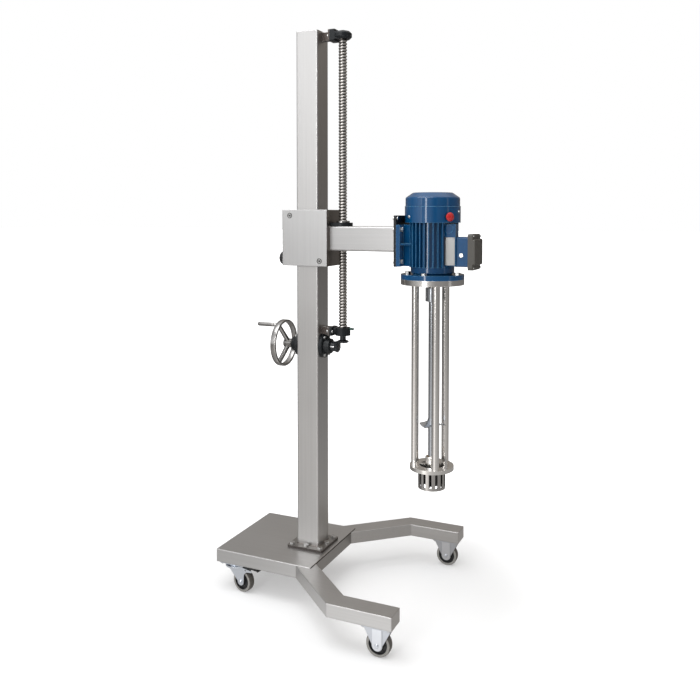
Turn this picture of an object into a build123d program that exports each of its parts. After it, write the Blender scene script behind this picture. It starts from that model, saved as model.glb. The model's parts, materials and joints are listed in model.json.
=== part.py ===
from build123d import *
import os
from math import atan2, cos, hypot, radians, sin

# High shear mixer on a wheeled stand. A hand-cranked screw lifts the arm that carries the motor and mixing head.
# X runs from the column along the arm to the motor, Y across the stand, Z up. Z = 0 is the floor.
# The origin lies on the floor under the middle of the whole machine.
os.makedirs("parts", exist_ok=True)

# Clearances, all per side
running_clearance = 0.05
moving_clearance = 0.3
bolt_clearance = 0.5

# Places of the two upright axes and of the lead screw
column_x = -150
reach = 425
screw_offset = 113
head_x = column_x + reach
screw_x = column_x + screw_offset

# Casters
wheel_diameter = 75
wheel_width = 25
wheel_side_gap = 2
hub_recess_depth = 5
axle_diameter = 8
fork_sheet = 2.5
fork_leg_width = 32
fork_top_width = 90
fork_rib_height = 1.5
caster_height = 95
caster_plate_length = 92
caster_plate_width = 64
caster_plate_thickness = 3
caster_hole_spacing_x = 76
caster_hole_spacing_y = 46
caster_bolt_diameter = 6
caster_pad_thickness = 3
swivel_trail = 35
swivel_yaw = -10.6
swivel_head_diameter = 70
kingpin_diameter = 12
race_diameter = 46
race_height = 3
fork_horn_reach = 83
pedal_start = 54
pedal_reach = 108
pedal_pivot_reach = 56
pedal_pivot_z = 80
pedal_pin_diameter = 5

# Deck and legs, folded from sheet
sheet = 3
tray_depth = 42
deck_behind_column = 275
deck_before_column = 80
deck_width = 354
leg_width = 65
leg_step = 2
leg_root_offset = 28
leg_bend_offset = 225
leg_end_offset = 428
stance_width = 714
rear_caster_offset = 218
rear_caster_inset = 33
front_caster_offset = 378
pad_margin = 8

# Column and its foot
column_size = 80
column_wall = 4
column_corner = 5
column_top = 1868
foot_plate_size = 130
foot_plate_thickness = 8
foot_bolt_diameter = 10
foot_bolt_spacing = 52

# Crank drive
crank_height = 820
cross_shaft_diameter = 18
bearing_flange_diameter = 80
bearing_flange_thickness = 12
bearing_boss_diameter = 50
near_boss_length = 20
far_boss_length = 20
bearing_bolt_circle = 67
bearing_bolt_diameter = 6
gear_pitch_radius = 20
gear_face_width = 8
crank_gear_hub_diameter = 34
screw_gear_hub_diameter = 20
wheel_plane_offset = 111
handwheel_diameter = 160
rim_depth = 20
rim_height = 9
handwheel_hub_diameter = 28
handwheel_hub_length = 35
handle_diameter = 11
handle_length = 61
handle_collar = 9
handle_pin_diameter = 6

# Lead screw and its two bearing brackets
screw_diameter = 28
journal_diameter = 20
bracket_spacer = 34
spacer_plate = 5
bracket_bolt_diameter = 6
bracket_flange_width = 52
top_block_width = 46
top_block_thickness = 18
top_block_bottom = 1832
top_block_top = 1870
top_eye_diameter = 60
top_eye_bevel = 7
top_eye_height = 25
top_eye_z = 1849
bottom_flange_thickness = 8
bottom_flange_rise = 38
bottom_flange_height = 29
bottom_eye_diameter = 50
bottom_eye_height = 26
bottom_eye_rise = 52.5
neck_diameter = 25
nipple_length = 14

# Carriage
carriage_width = 165
carriage_depth = 120
carriage_height = 186
carriage_bottom = 1091
carriage_wall = 6
roller_diameter = 29.4
roller_length = 100
roller_pin_diameter = 10
roller_inset_top = 19
roller_inset_bottom = 17
roller_screw_head = 15
pad_block_width = 60
pad_block_height = 24
knob_height = 1113
knob_diameter = 42
knob_depth = 18
knob_dome_radius = 14
knob_dome_height = 9
stud_diameter = 12

# Arm
arm_size = 80
arm_wall = 4
arm_corner = 5
arm_middle_z = 1182.5
nut_plate_radius = 33
nut_plate_thickness = 12
nut_body_diameter = 38
nut_collar_diameter = 46
nut_collar_height = 6
nut_length = 44
end_plate_width = 175
end_plate_height = 160
end_plate_thickness = 8
corner_screw_diameter = 6
corner_screw_inset = 9

# Motor, a size 90 foot and flange machine standing on its flange
shaft_height = 90
foot_hole_across = 140
foot_hole_along = 100
first_foot_hole = 56
foot_thickness = 12
foot_length = 130
foot_bolt_size = 8
flange_diameter = 200
flange_thickness = 15
flange_bolt_circle = 165
flange_bolt_size = 10
flange_face_z = 1058.5
barrel_diameter = 136
fin_diameter = 166
fin_thickness = 3
fin_count = 36
barrel_bottom_gap = 24
barrel_top_z = 1238
rotor_diameter = 76
motor_shaft_diameter = 24
shaft_length = 50
cowl_diameter = 175
cowl_wall = 2
cowl_top_z = 1330
cowl_flat_diameter = 124
cowl_shoulder = 16
cowl_rounding = 7
cowl_step_z = 1286
rear_shield_thickness = 8
fan_diameter = 140

# Terminal box on the side away from the feet
box_width = 72
box_height = 92
box_middle_z = 1146
box_wall = 4
lid_width = 86
lid_height = 111
lid_thickness = 24
lid_rim_thickness = 17
lid_centre_height = 80
lid_face_offset = 150
gland_thread_diameter = 20
gland_bore_diameter = 10
gland_length = 26
plug_thread_diameter = 9
plug_head_diameter = 13
plug_drop = 10
pad_start = 50
pad_face = 44
plate_width = 34
plate_height = 86
plate_thickness = 1
badge_diameter = 27
badge_offset = 67
badge_z = 1217
button_diameter = 27
button_angle = -39.5
button_z = 1254
button_travel = 4
collar_diameter = 22

# Mixing head
adapter_thickness = 17.5
rod_diameter = 24
rod_circle = 114
ring_diameter = 140
ring_thickness = 12
ring_bottom_z = 453
ring_hub_diameter = 41
ring_hub_height = 27
ring_window_outer = 78
spoke_width = 14
stator_diameter = 87
stator_wall = 4
stator_bottom_z = 392
stator_slots = 14
slot_width = 8
slot_height = 46
slot_bottom_gap = 7
drive_shaft_diameter = 24
bush_wall = 4
coupling_diameter = 44
coupling_length = 43
coupling_top_z = 1030
propeller_z = 597
propeller_diameter = 86
propeller_hub_diameter = 28
propeller_hub_length = 30
blade_pitch = 22
blade_chord = 30
rotor_blade_count = 4
rotor_blade_thickness = 5

# Places worked out from the sizes above
axle_z = wheel_diameter / 2
tray_bottom = caster_height
deck_top = tray_bottom + tray_depth
deck_rear = column_x - deck_behind_column
deck_front = column_x + deck_before_column
foot_plate_top = deck_top + foot_plate_thickness
column_half = column_size / 2
column_front = column_x + column_half
column_rear = column_x - column_half
front_wheel_y = stance_width / 2 - leg_width / 2
rear_wheel_y = deck_width / 2 - rear_caster_inset
front_wheel_x = column_x + front_caster_offset
rear_pivot_x = column_x - rear_caster_offset
leg_gap = wheel_width / 2 + wheel_side_gap
spacer_x = column_front + bracket_spacer
bottom_flange_bottom = crank_height + bottom_flange_rise
bottom_flange_top = bottom_flange_bottom + bottom_flange_height
bottom_eye_z = crank_height + bottom_eye_rise
carriage_top = carriage_bottom + carriage_height
carriage_front = column_x + carriage_width / 2
carriage_rear = column_x - carriage_width / 2
roller_offset = column_half + roller_diameter / 2 + moving_clearance
upper_roller_z = carriage_top - roller_inset_top
lower_roller_z = carriage_bottom + roller_inset_bottom
arm_top = arm_middle_z + arm_size / 2
foot_plane_x = head_x - shaft_height
end_plate_x = foot_plane_x - end_plate_thickness
foot_middle_z = flange_face_z + first_foot_hole + foot_hole_along / 2
flange_back_z = flange_face_z + flange_thickness
barrel_bottom_z = flange_back_z + barrel_bottom_gap
adapter_bottom_z = flange_face_z - adapter_thickness
ring_top_z = ring_bottom_z + ring_thickness
lid_back_x = head_x + lid_face_offset - lid_thickness


def facing(x, y, z, direction):
    """Plane at a point, with its normal along a direction and its x axis level where it can be."""
    side = (-direction[1], direction[0], 0) if hypot(direction[0], direction[1]) > 0.001 else (1, 0, 0)
    return Plane(origin=(x, y, z), x_dir=side, z_dir=direction)


def outward(angle):
    """Unit vector pointing out from an upright axis at an angle from +X."""
    return cos(radians(angle)), sin(radians(angle)), 0


def dome_point(base, radius, height):
    """Point half way up the arc of a dome that stands on a base, in a half section along its axis."""
    sphere = (radius * radius + height * height) / (2 * height)
    angle = atan2(radius, sphere - height) / 2
    return base + height - sphere + sphere * cos(angle), sphere * sin(angle)


def hex_bolt(size, grip, nut=True):
    """Hex bolt with its head standing on Z = 0 and its shank going down through the grip, to a nut below."""
    with BuildPart() as bolt:
        with BuildSketch():
            RegularPolygon(size * 0.82, 6, major_radius=False)
        extrude(amount=size * 0.65)
        with BuildSketch():
            Circle(size / 2)
        extrude(amount=-grip - size if nut else -grip)
        if nut:
            with BuildSketch(Plane.XY.offset(-grip)):
                RegularPolygon(size * 0.82, 6, major_radius=False)
            extrude(amount=-size * 0.8)
    return bolt.part


def save(builder, name):
    """Label a finished piece and write it as one file."""
    builder.part.label = name
    export_step(builder.part, f"parts/{name}.step")


# Deck: a folded tray, open below, with a welded pad over each rear caster
with BuildPart() as deck:
    deck_middle_x = (deck_rear + deck_front) / 2
    deck_length = deck_front - deck_rear
    with BuildSketch(Plane.XY.offset(tray_bottom)):
        with Locations((deck_middle_x, 0)):
            RectangleRounded(deck_length, deck_width, sheet)
    extrude(amount=tray_depth)
    fillet(deck.edges().group_by(Axis.Z)[-1], sheet / 2)
    with BuildSketch(Plane.XY.offset(tray_bottom)):
        with Locations((deck_middle_x, 0)):
            Rectangle(deck_length - 2 * sheet, deck_width - 2 * sheet)
    extrude(amount=tray_depth - sheet, mode=Mode.SUBTRACT)
    pad_length = caster_plate_length + 2 * pad_margin
    pad_width = caster_plate_width + pad_margin
    with BuildSketch(Plane.XY.offset(tray_bottom)):
        for side in (-1, 1):
            with Locations((rear_pivot_x, side * (deck_width - sheet - pad_width) / 2)):
                Rectangle(pad_length, pad_width)
    extrude(amount=caster_pad_thickness)
    with Locations((rear_pivot_x, -rear_wheel_y, tray_bottom), (rear_pivot_x, rear_wheel_y, tray_bottom)):
        with GridLocations(caster_hole_spacing_x, caster_hole_spacing_y, 2, 2):
            Cylinder(caster_bolt_diameter / 2 + bolt_clearance, 4 * caster_pad_thickness, mode=Mode.SUBTRACT)
    foot_bolt_places = [(column_x + foot_bolt_spacing * i, foot_bolt_spacing * j)
                        for i in (-1, 0, 1) for j in (-1, 0, 1) if i or j]
    with Locations(*[(x, y, deck_top) for x, y in foot_bolt_places]):
        Cylinder(foot_bolt_diameter / 2 + bolt_clearance, 4 * sheet, mode=Mode.SUBTRACT)
save(deck, "deck")


def make_leg(side):
    """Folded channel, open below: from the deck's side out to the bend, then forward to its foot."""
    root_x = column_x + leg_root_offset
    bend_x = column_x + leg_bend_offset
    end_x = column_x + leg_end_offset
    root_y = deck_width / 2
    bend_y = stance_width / 2
    run = hypot(bend_x - root_x, bend_y - root_y)
    along_x = (bend_x - root_x) / run
    along_y = (bend_y - root_y) / run
    inner_x = root_x + along_y * leg_width
    inner_y = root_y - along_x * leg_width
    front_y = inner_y + (deck_front - inner_x) * along_y / along_x
    elbow_y = bend_y - leg_width
    elbow_x = inner_x + (elbow_y - inner_y) * along_x / along_y
    corners = [(root_x, side * root_y), (bend_x, side * bend_y), (end_x, side * bend_y), (end_x, side * elbow_y),
               (elbow_x, side * elbow_y), (deck_front, side * front_y), (deck_front, side * root_y)]
    with BuildPart() as leg:
        with BuildSketch(Plane.XY.offset(tray_bottom)):
            with BuildLine():
                Polyline(*corners, close=True)
            make_face()
        extrude(amount=tray_depth - leg_step)
        with BuildSketch(Plane.XY.offset(tray_bottom)):
            with BuildLine():
                Polyline(*corners, close=True)
            make_face()
            offset(amount=-sheet, mode=Mode.REPLACE)
        extrude(amount=tray_depth - leg_step - sheet, mode=Mode.SUBTRACT)
        with BuildSketch(Plane.XY.offset(tray_bottom)):
            with Locations((front_wheel_x, side * front_wheel_y)):
                Rectangle(caster_plate_length + pad_margin, leg_width - sheet)
        extrude(amount=caster_pad_thickness)
        with Locations((front_wheel_x, side * front_wheel_y, tray_bottom)):
            with GridLocations(caster_hole_spacing_x, caster_hole_spacing_y, 2, 2):
                Cylinder(caster_bolt_diameter / 2 + bolt_clearance, 4 * caster_pad_thickness, mode=Mode.SUBTRACT)
    return leg


# Legs, one on each side, each with a pad over its fixed caster
save(make_leg(-1), "leg_near")
save(make_leg(1), "leg_far")

# Foot plate under the column
with BuildPart() as foot_plate:
    with BuildSketch(Plane.XY.offset(deck_top)):
        with Locations((column_x, 0)):
            RectangleRounded(foot_plate_size, foot_plate_size, 4)
    extrude(amount=foot_plate_thickness)
    with Locations(*[(x, y, deck_top) for x, y in foot_bolt_places]):
        Cylinder(foot_bolt_diameter / 2 + bolt_clearance, 4 * foot_plate_thickness, mode=Mode.SUBTRACT)
save(foot_plate, "foot_plate")

# Column: square tube, open on top, bored across for the crank shaft and its bearing bolts
bearing_bolt_angles = (60, 120, 240, 300)
bearing_bolt_places = [(bearing_bolt_circle / 2 * cos(radians(a)), bearing_bolt_circle / 2 * sin(radians(a)))
                       for a in bearing_bolt_angles]
with BuildPart() as column:
    with BuildSketch(Plane.XY.offset(foot_plate_top)):
        with Locations((column_x, 0)):
            RectangleRounded(column_size, column_size, column_corner)
            RectangleRounded(column_size - 2 * column_wall, column_size - 2 * column_wall,
                             column_corner - column_wall + 1, mode=Mode.SUBTRACT)
    extrude(amount=column_top - foot_plate_top)
    with BuildSketch(Plane(origin=(column_x, 0, crank_height), x_dir=(0, 1, 0), z_dir=(1, 0, 0))):
        Circle(cross_shaft_diameter / 2 + 2)
        with Locations(*bearing_bolt_places):
            Circle(bearing_bolt_diameter / 2 + bolt_clearance)
    extrude(amount=column_size, both=True, mode=Mode.SUBTRACT)
save(column, "column")

# Bolts of the stand: eight through the foot plate, four at each caster
caster_places = [(front_wheel_x, -front_wheel_y), (front_wheel_x, front_wheel_y),
                 (rear_pivot_x, -rear_wheel_y), (rear_pivot_x, rear_wheel_y)]
foot_bolt = hex_bolt(foot_bolt_diameter, foot_plate_thickness + sheet)
caster_bolt = hex_bolt(caster_bolt_diameter, caster_plate_thickness + caster_pad_thickness)
caster_seats = [facing(x + i * caster_hole_spacing_x / 2, y + j * caster_hole_spacing_y / 2,
                       tray_bottom - caster_plate_thickness, (0, 0, -1))
                for x, y in caster_places for i in (-1, 1) for j in (-1, 1)]
with BuildPart() as base_bolts:
    with Locations(*[(x, y, foot_plate_top) for x, y in foot_bolt_places]):
        add(foot_bolt)
    with Locations(*caster_seats):
        add(caster_bolt)
save(base_bolts, "base_bolts")


def make_wheel(x, y, yaw):
    """Wheel with a crowned tyre and a dished hub, turned about the upright axis by yaw."""
    axle_direction = (-sin(radians(yaw)), cos(radians(yaw)), 0)
    rolling_direction = (cos(radians(yaw)), sin(radians(yaw)), 0)
    bore = axle_diameter / 2 + running_clearance
    hub_radius = wheel_diameter * 0.17
    web_radius = wheel_diameter * 0.36
    with BuildPart() as wheel:
        with BuildSketch(Plane(origin=(x, y, axle_z), x_dir=axle_direction, z_dir=rolling_direction)) as section:
            with Locations((0, (wheel_diameter / 2 + bore) / 2)):
                Rectangle(wheel_width, wheel_diameter / 2 - bore)
            fillet(section.vertices().group_by(Axis.Y)[-1], wheel_width / 5)
            for face in (-1, 1):
                with Locations((face * (wheel_width - hub_recess_depth) / 2, (hub_radius + web_radius) / 2)):
                    Rectangle(hub_recess_depth, web_radius - hub_radius, mode=Mode.SUBTRACT)
        revolve(axis=Axis((x, y, axle_z), axle_direction))
    return wheel


def axle_bolt(half_width):
    """Axle along Z through both fork legs, with a domed head and a domed nut."""
    head_radius = axle_diameter * 0.85
    head_height = axle_diameter * 0.6
    end = half_width + head_height
    with BuildPart() as axle:
        with BuildSketch(Plane.XZ):
            with BuildLine():
                shank = axle_diameter / 2
                Polyline((0, -end), (0, end), (head_radius * 0.55, end), (head_radius, end - head_height / 2),
                         (head_radius, half_width), (shank, half_width), (shank, -half_width),
                         (head_radius, -half_width), (head_radius, head_height / 2 - end),
                         (head_radius * 0.55, -end), close=True)
            make_face()
        revolve(axis=Axis.Z)
    return axle.part


def fork_plane(x, y, yaw, shift):
    """Plane of a fork leg, shifted along the axle: its x axis is the rolling direction, its y axis is up."""
    direction = (sin(radians(yaw)), -cos(radians(yaw)), 0)
    place = (x + direction[0] * shift, y + direction[1] * shift, 0)
    return Plane(origin=place, x_dir=(cos(radians(yaw)), sin(radians(yaw)), 0), z_dir=direction)


# Front casters: fixed forks under a bolted plate, each leg a tapered sheet with a raised rib down to the axle
fork_half_width = leg_gap + fork_sheet
fork_rib_face = fork_half_width + fork_rib_height
caster_plate_z = tray_bottom - caster_plate_thickness
with BuildPart() as fixed_forks:
    with BuildSketch(Plane.XY.offset(caster_plate_z)):
        with Locations((front_wheel_x, -front_wheel_y), (front_wheel_x, front_wheel_y)):
            RectangleRounded(caster_plate_length, caster_plate_width, 5)
            with GridLocations(caster_hole_spacing_x, caster_hole_spacing_y, 2, 2):
                Circle(caster_bolt_diameter / 2 + bolt_clearance, mode=Mode.SUBTRACT)
    extrude(amount=caster_plate_thickness)
    half = fork_leg_width / 2
    for side in (-1, 1):
        for shift in (leg_gap, -fork_half_width):
            with BuildSketch(fork_plane(front_wheel_x, side * front_wheel_y, 0, shift)):
                with BuildLine():
                    Polyline((-half, axle_z), (-fork_top_width / 2, caster_plate_z),
                             (fork_top_width / 2, caster_plate_z), (half, axle_z))
                    ThreePointArc((half, axle_z), (0, axle_z - half), (-half, axle_z))
                make_face()
            extrude(amount=fork_sheet)
        for shift in (fork_half_width, -fork_rib_face):
            with BuildSketch(fork_plane(front_wheel_x, side * front_wheel_y, 0, shift)):
                with BuildLine():
                    Polyline((-half, axle_z), (-half, caster_plate_z), (half, caster_plate_z), (half, axle_z))
                    ThreePointArc((half, axle_z), (0, axle_z - half), (-half, axle_z))
                make_face()
            extrude(amount=fork_rib_height)
        with BuildSketch(fork_plane(front_wheel_x, side * front_wheel_y, 0, 0)):
            with Locations((0, axle_z)):
                Circle(axle_diameter / 2 + bolt_clearance / 2)
        extrude(amount=fork_rib_face, both=True, mode=Mode.SUBTRACT)
save(fixed_forks, "fixed_forks")

front_axle = axle_bolt(fork_rib_face)
with BuildPart() as front_axles:
    with Locations(*[facing(front_wheel_x, side * front_wheel_y, axle_z, (0, 1, 0)) for side in (-1, 1)]):
        add(front_axle)
save(front_axles, "front_axles")

# Rear casters: a bolted plate with a riveted kingpin under it
race_z = caster_plate_z - race_height
web_z = race_z - moving_clearance - 2 * fork_sheet
pin_bottom = web_z - moving_clearance
with BuildPart() as swivel_plates:
    with BuildSketch(Plane.XY.offset(caster_plate_z)):
        with Locations((rear_pivot_x, -rear_wheel_y), (rear_pivot_x, rear_wheel_y)):
            RectangleRounded(caster_plate_length, caster_plate_width, 5)
            with GridLocations(caster_hole_spacing_x, caster_hole_spacing_y, 2, 2):
                Circle(caster_bolt_diameter / 2 + bolt_clearance, mode=Mode.SUBTRACT)
    extrude(amount=caster_plate_thickness)
    with Locations((rear_pivot_x, -rear_wheel_y, race_z), (rear_pivot_x, rear_wheel_y, race_z)):
        Cylinder(race_diameter / 2, race_height, align=(Align.CENTER, Align.CENTER, Align.MIN))
    with Locations((rear_pivot_x, -rear_wheel_y, pin_bottom), (rear_pivot_x, rear_wheel_y, pin_bottom)):
        Cylinder(kingpin_diameter / 2, race_z - pin_bottom, align=(Align.CENTER, Align.CENTER, Align.MIN))
        Cylinder(kingpin_diameter / 2 + 3, 2, align=(Align.CENTER, Align.CENTER, Align.MAX))
save(swivel_plates, "swivel_plates")


def make_swivel_fork(pivot_y):
    """Fork that swivels under its plate, its axle trailing behind the kingpin, with a horn beside the pedal."""
    rolling = (cos(radians(swivel_yaw)), sin(radians(swivel_yaw)), 0)
    across = (-rolling[1], rolling[0], 0)
    boss = 13
    rear_axle = axle_bolt(fork_half_width)
    with BuildPart() as fork:
        with BuildSketch(Plane(origin=(rear_pivot_x, pivot_y, web_z), x_dir=rolling, z_dir=(0, 0, 1))):
            Circle(swivel_head_diameter / 2)
            with Locations((swivel_head_diameter / 4 + 2, 0)):
                Rectangle(swivel_head_diameter / 2 + 4, 2 * fork_half_width)
            Circle(kingpin_diameter / 2 + running_clearance, mode=Mode.SUBTRACT)
        extrude(amount=fork_sheet)
        with BuildSketch(Plane.XY.offset(web_z + fork_sheet)):
            with Locations((rear_pivot_x, pivot_y)):
                Circle(race_diameter / 2)
                Circle(kingpin_diameter / 2 + running_clearance, mode=Mode.SUBTRACT)
        extrude(amount=fork_sheet)
        with BuildSketch(Plane.XY.offset(web_z)):
            with Locations((rear_pivot_x, pivot_y)):
                Circle(swivel_head_diameter / 2)
                Circle(swivel_head_diameter / 2 - fork_sheet, mode=Mode.SUBTRACT)
        extrude(amount=-fork_sheet)
        for shift in (leg_gap, -fork_half_width):
            with BuildSketch(fork_plane(rear_pivot_x, pivot_y, swivel_yaw, shift)):
                with BuildLine():
                    top = web_z + fork_sheet
                    Polyline((swivel_trail - boss, axle_z), (-swivel_head_diameter * 0.4, web_z),
                             (-swivel_head_diameter * 0.4, top), (swivel_head_diameter / 2, top),
                             (fork_horn_reach, top - 3), (fork_horn_reach, top - 8),
                             (swivel_trail + boss + 12, top - 12), (swivel_trail + boss + 2, top - 22),
                             (swivel_trail + boss, axle_z))
                    ThreePointArc((swivel_trail + boss, axle_z), (swivel_trail, axle_z - boss),
                                  (swivel_trail - boss, axle_z))
                make_face()
                with Locations((swivel_trail, axle_z)):
                    Circle(axle_diameter / 2, mode=Mode.SUBTRACT)
                with Locations((pedal_pivot_reach, pedal_pivot_z)):
                    Circle(pedal_pin_diameter / 2 + running_clearance, mode=Mode.SUBTRACT)
            extrude(amount=fork_sheet)
        with Locations(facing(rear_pivot_x + swivel_trail * rolling[0], pivot_y + swivel_trail * rolling[1],
                              axle_z, across)):
            add(rear_axle)
    return fork


def make_brake_pedal(pivot_y):
    """Brake pedal between the fork's horns, with its pivot pin and a shoe above the tyre."""
    pedal_top = caster_plate_z - 0.7
    with BuildPart() as pedal:
        with BuildSketch(fork_plane(rear_pivot_x, pivot_y, swivel_yaw, 0)):
            with BuildLine():
                Polyline((pedal_start, pedal_top - 4), (pedal_start, pedal_top), (pedal_reach - 3, pedal_top),
                         (pedal_reach, pedal_top - 2), (pedal_reach, pedal_top - 6),
                         (pedal_reach - 2, pedal_top - 6), (pedal_reach - 3, pedal_top - 4),
                         (pedal_pivot_reach + 16, pedal_top - 4), (pedal_pivot_reach + 8, pedal_pivot_z - 3),
                         (pedal_pivot_reach + 1, pedal_pivot_z - 8), (pedal_pivot_reach - 3, pedal_pivot_z - 8),
                         (pedal_pivot_reach - 4, pedal_top - 8), close=True)
            make_face()
        extrude(amount=leg_gap - moving_clearance, both=True)
        with BuildSketch(fork_plane(rear_pivot_x, pivot_y, swivel_yaw, 0)):
            with Locations((pedal_pivot_reach, pedal_pivot_z)):
                Circle(pedal_pin_diameter / 2)
        extrude(amount=fork_half_width, both=True)
    return pedal


# Rear casters, near and far: fork, brake pedal and wheel
for side, place in ((-1, "near"), (1, "far")):
    pivot_y = side * rear_wheel_y
    axle_x = rear_pivot_x + swivel_trail * cos(radians(swivel_yaw))
    axle_y = pivot_y + swivel_trail * sin(radians(swivel_yaw))
    save(make_swivel_fork(pivot_y), f"swivel_fork_{place}")
    save(make_brake_pedal(pivot_y), f"brake_pedal_{place}")
    save(make_wheel(axle_x, axle_y, swivel_yaw), f"rear_wheel_{place}")
    save(make_wheel(front_wheel_x, side * front_wheel_y, 0), f"front_wheel_{place}")

# Flange bearings of the crank shaft, one on each side of the column
for side, boss_length, place in ((1, near_boss_length, "screw_side"), (-1, far_boss_length, "wheel_side")):
    with BuildPart() as bearing:
        section = Plane(origin=(column_x, 0, crank_height), x_dir=(1, 0, 0), z_dir=(0, -1, 0))
        face = side * column_half
        shoulder = side * (column_half + bearing_flange_thickness)
        end = side * (column_half + bearing_flange_thickness + boss_length)
        with BuildSketch(section):
            with BuildLine():
                bore = cross_shaft_diameter / 2 + running_clearance
                Polyline((face, bore), (face, bearing_flange_diameter / 2),
                         (shoulder - side * 3, bearing_flange_diameter / 2),
                         (shoulder, bearing_flange_diameter / 2 - 4), (shoulder, bearing_boss_diameter / 2 + 2),
                         (end - side * 2, bearing_boss_diameter / 2), (end, bearing_boss_diameter / 2 - 3),
                         (end, bore), close=True)
            make_face()
        revolve(axis=Axis((column_x, 0, crank_height), (1, 0, 0)))
        with BuildSketch(Plane(origin=(column_x, 0, crank_height), x_dir=(0, 1, 0), z_dir=(1, 0, 0))):
            with Locations(*bearing_bolt_places):
                Circle(bearing_bolt_diameter / 2 + bolt_clearance)
        extrude(amount=side * 2 * column_size, mode=Mode.SUBTRACT)
    save(bearing, f"crank_bearing_{place}")


# Top bracket: a block, and a plate with a bevelled round end around the screw's journal
block_front = spacer_x + top_block_thickness
top_bolt_y = top_block_width / 2 - 8.5
top_tapped_depth = 14
with BuildPart() as top_bracket:
    with BuildSketch(Plane(origin=(spacer_x, 0, (top_block_bottom + top_block_top) / 2), x_dir=(0, 1, 0),
                           z_dir=(1, 0, 0))):
        RectangleRounded(top_block_width, top_block_top - top_block_bottom, 3)
    extrude(amount=top_block_thickness)
    with BuildSketch(Plane(origin=(screw_x, 0, top_eye_z), x_dir=(1, 0, 0), z_dir=(0, -1, 0))):
        with BuildLine():
            eye_radius = top_eye_diameter / 2
            eye_half = top_eye_height / 2
            Polyline((0, -eye_half), (eye_radius - top_eye_bevel, -eye_half),
                     (eye_radius, top_eye_bevel - eye_half), (eye_radius, eye_half - top_eye_bevel),
                     (eye_radius - top_eye_bevel, eye_half), (0, eye_half), close=True)
        make_face()
    revolve(axis=Axis((screw_x, 0, 0), (0, 0, 1)))
    with BuildSketch(Plane.XY.offset(top_eye_z - top_eye_height / 2)):
        with Locations(((block_front + screw_x) / 2 - 1, 0)):
            Rectangle(screw_x - block_front + 2, top_block_width)
    extrude(amount=top_eye_height)
    with BuildSketch(Plane.XY.offset(top_eye_z - top_eye_height)):
        with Locations((screw_x, 0)):
            Circle(journal_diameter / 2 + running_clearance)
    extrude(amount=2 * top_eye_height, mode=Mode.SUBTRACT)
    with BuildSketch(Plane(origin=(spacer_x, 0, top_eye_z), x_dir=(0, 1, 0), z_dir=(1, 0, 0))):
        with Locations((-top_bolt_y, 0), (top_bolt_y, 0)):
            Circle(bracket_bolt_diameter / 2)
    extrude(amount=top_tapped_depth, mode=Mode.SUBTRACT)
save(top_bracket, "top_bracket")

# Bottom bracket: a bolted flange, a round neck and an eye around the screw's journal, with a grease nipple
bottom_flange_front = spacer_x + bottom_flange_thickness
bottom_bolt_y = bracket_flange_width / 2 - bracket_bolt_diameter
bottom_bolt_z = (bottom_flange_bottom + bottom_flange_top) / 2
with BuildPart() as bottom_bracket:
    with BuildSketch(Plane(origin=(spacer_x, 0, (bottom_flange_bottom + bottom_flange_top) / 2), x_dir=(0, 1, 0),
                           z_dir=(1, 0, 0))):
        RectangleRounded(bracket_flange_width, bottom_flange_top - bottom_flange_bottom, 6)
    extrude(amount=bottom_flange_thickness)
    with BuildSketch(Plane(origin=(spacer_x, 0, bottom_bolt_z), x_dir=(0, 1, 0), z_dir=(1, 0, 0))):
        with Locations((-bottom_bolt_y, 0), (bottom_bolt_y, 0)):
            Circle(bracket_bolt_diameter / 2 + bolt_clearance)
    extrude(amount=bottom_flange_thickness, mode=Mode.SUBTRACT)
    with BuildSketch(Plane(origin=(bottom_flange_front, 0, bottom_eye_z), x_dir=(0, 1, 0), z_dir=(1, 0, 0))):
        Circle(neck_diameter / 2)
    extrude(amount=screw_x - bottom_flange_front)
    with BuildSketch(Plane.XY.offset(bottom_eye_z - bottom_eye_height / 2)):
        with Locations((screw_x, 0)):
            Circle(bottom_eye_diameter / 2)
    extrude(amount=bottom_eye_height)
    with BuildSketch(Plane(origin=(screw_x + bottom_eye_diameter / 2 - 1, 0, bottom_flange_top - 5),
                           x_dir=(0, 1, 0), z_dir=(1, 0, 0))):
        Circle(3.5)
    extrude(amount=nipple_length + 1)
    with BuildSketch(Plane.XY.offset(bottom_eye_z - bottom_eye_height)):
        with Locations((screw_x, 0)):
            Circle(journal_diameter / 2 + running_clearance)
    extrude(amount=2 * bottom_eye_height, mode=Mode.SUBTRACT)
save(bottom_bracket, "bottom_bracket")

# Steel spacers: a bar welded to the column and a plate on its end, which the bracket is bolted to
bottom_spacer_z = crank_height + bearing_flange_diameter / 2 + 1
spacer_back = spacer_x - spacer_plate
spacer_sizes = [(top_bolt_y, top_eye_z, top_block_width, top_block_bottom, top_block_top, top_block_bottom + 3,
                 column_top - 4),
                (bottom_bolt_y, bottom_bolt_z, bracket_flange_width, bottom_flange_bottom, bottom_flange_top,
                 bottom_spacer_z, bottom_flange_top - 1)]
with BuildPart() as bracket_spacers:
    for bolt_y, bolt_z, plate_wide, plate_low, plate_high, bar_low, bar_high in spacer_sizes:
        bar_middle_z = (bar_low + bar_high) / 2
        with BuildSketch(Plane(origin=(column_front, 0, bar_middle_z), x_dir=(0, 1, 0), z_dir=(1, 0, 0))):
            Rectangle(2 * (bolt_y - bracket_bolt_diameter) - 1, bar_high - bar_low)
        extrude(amount=bracket_spacer)
        plate_middle_z = (plate_low + plate_high) / 2
        with BuildSketch(Plane(origin=(spacer_back, 0, plate_middle_z), x_dir=(0, 1, 0), z_dir=(1, 0, 0))):
            RectangleRounded(plate_wide, plate_high - plate_low, 3)
            with Locations((-bolt_y, bolt_z - plate_middle_z), (bolt_y, bolt_z - plate_middle_z)):
                Circle(bracket_bolt_diameter / 2 + bolt_clearance, mode=Mode.SUBTRACT)
        extrude(amount=spacer_plate)
save(bracket_spacers, "bracket_spacers")

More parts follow.
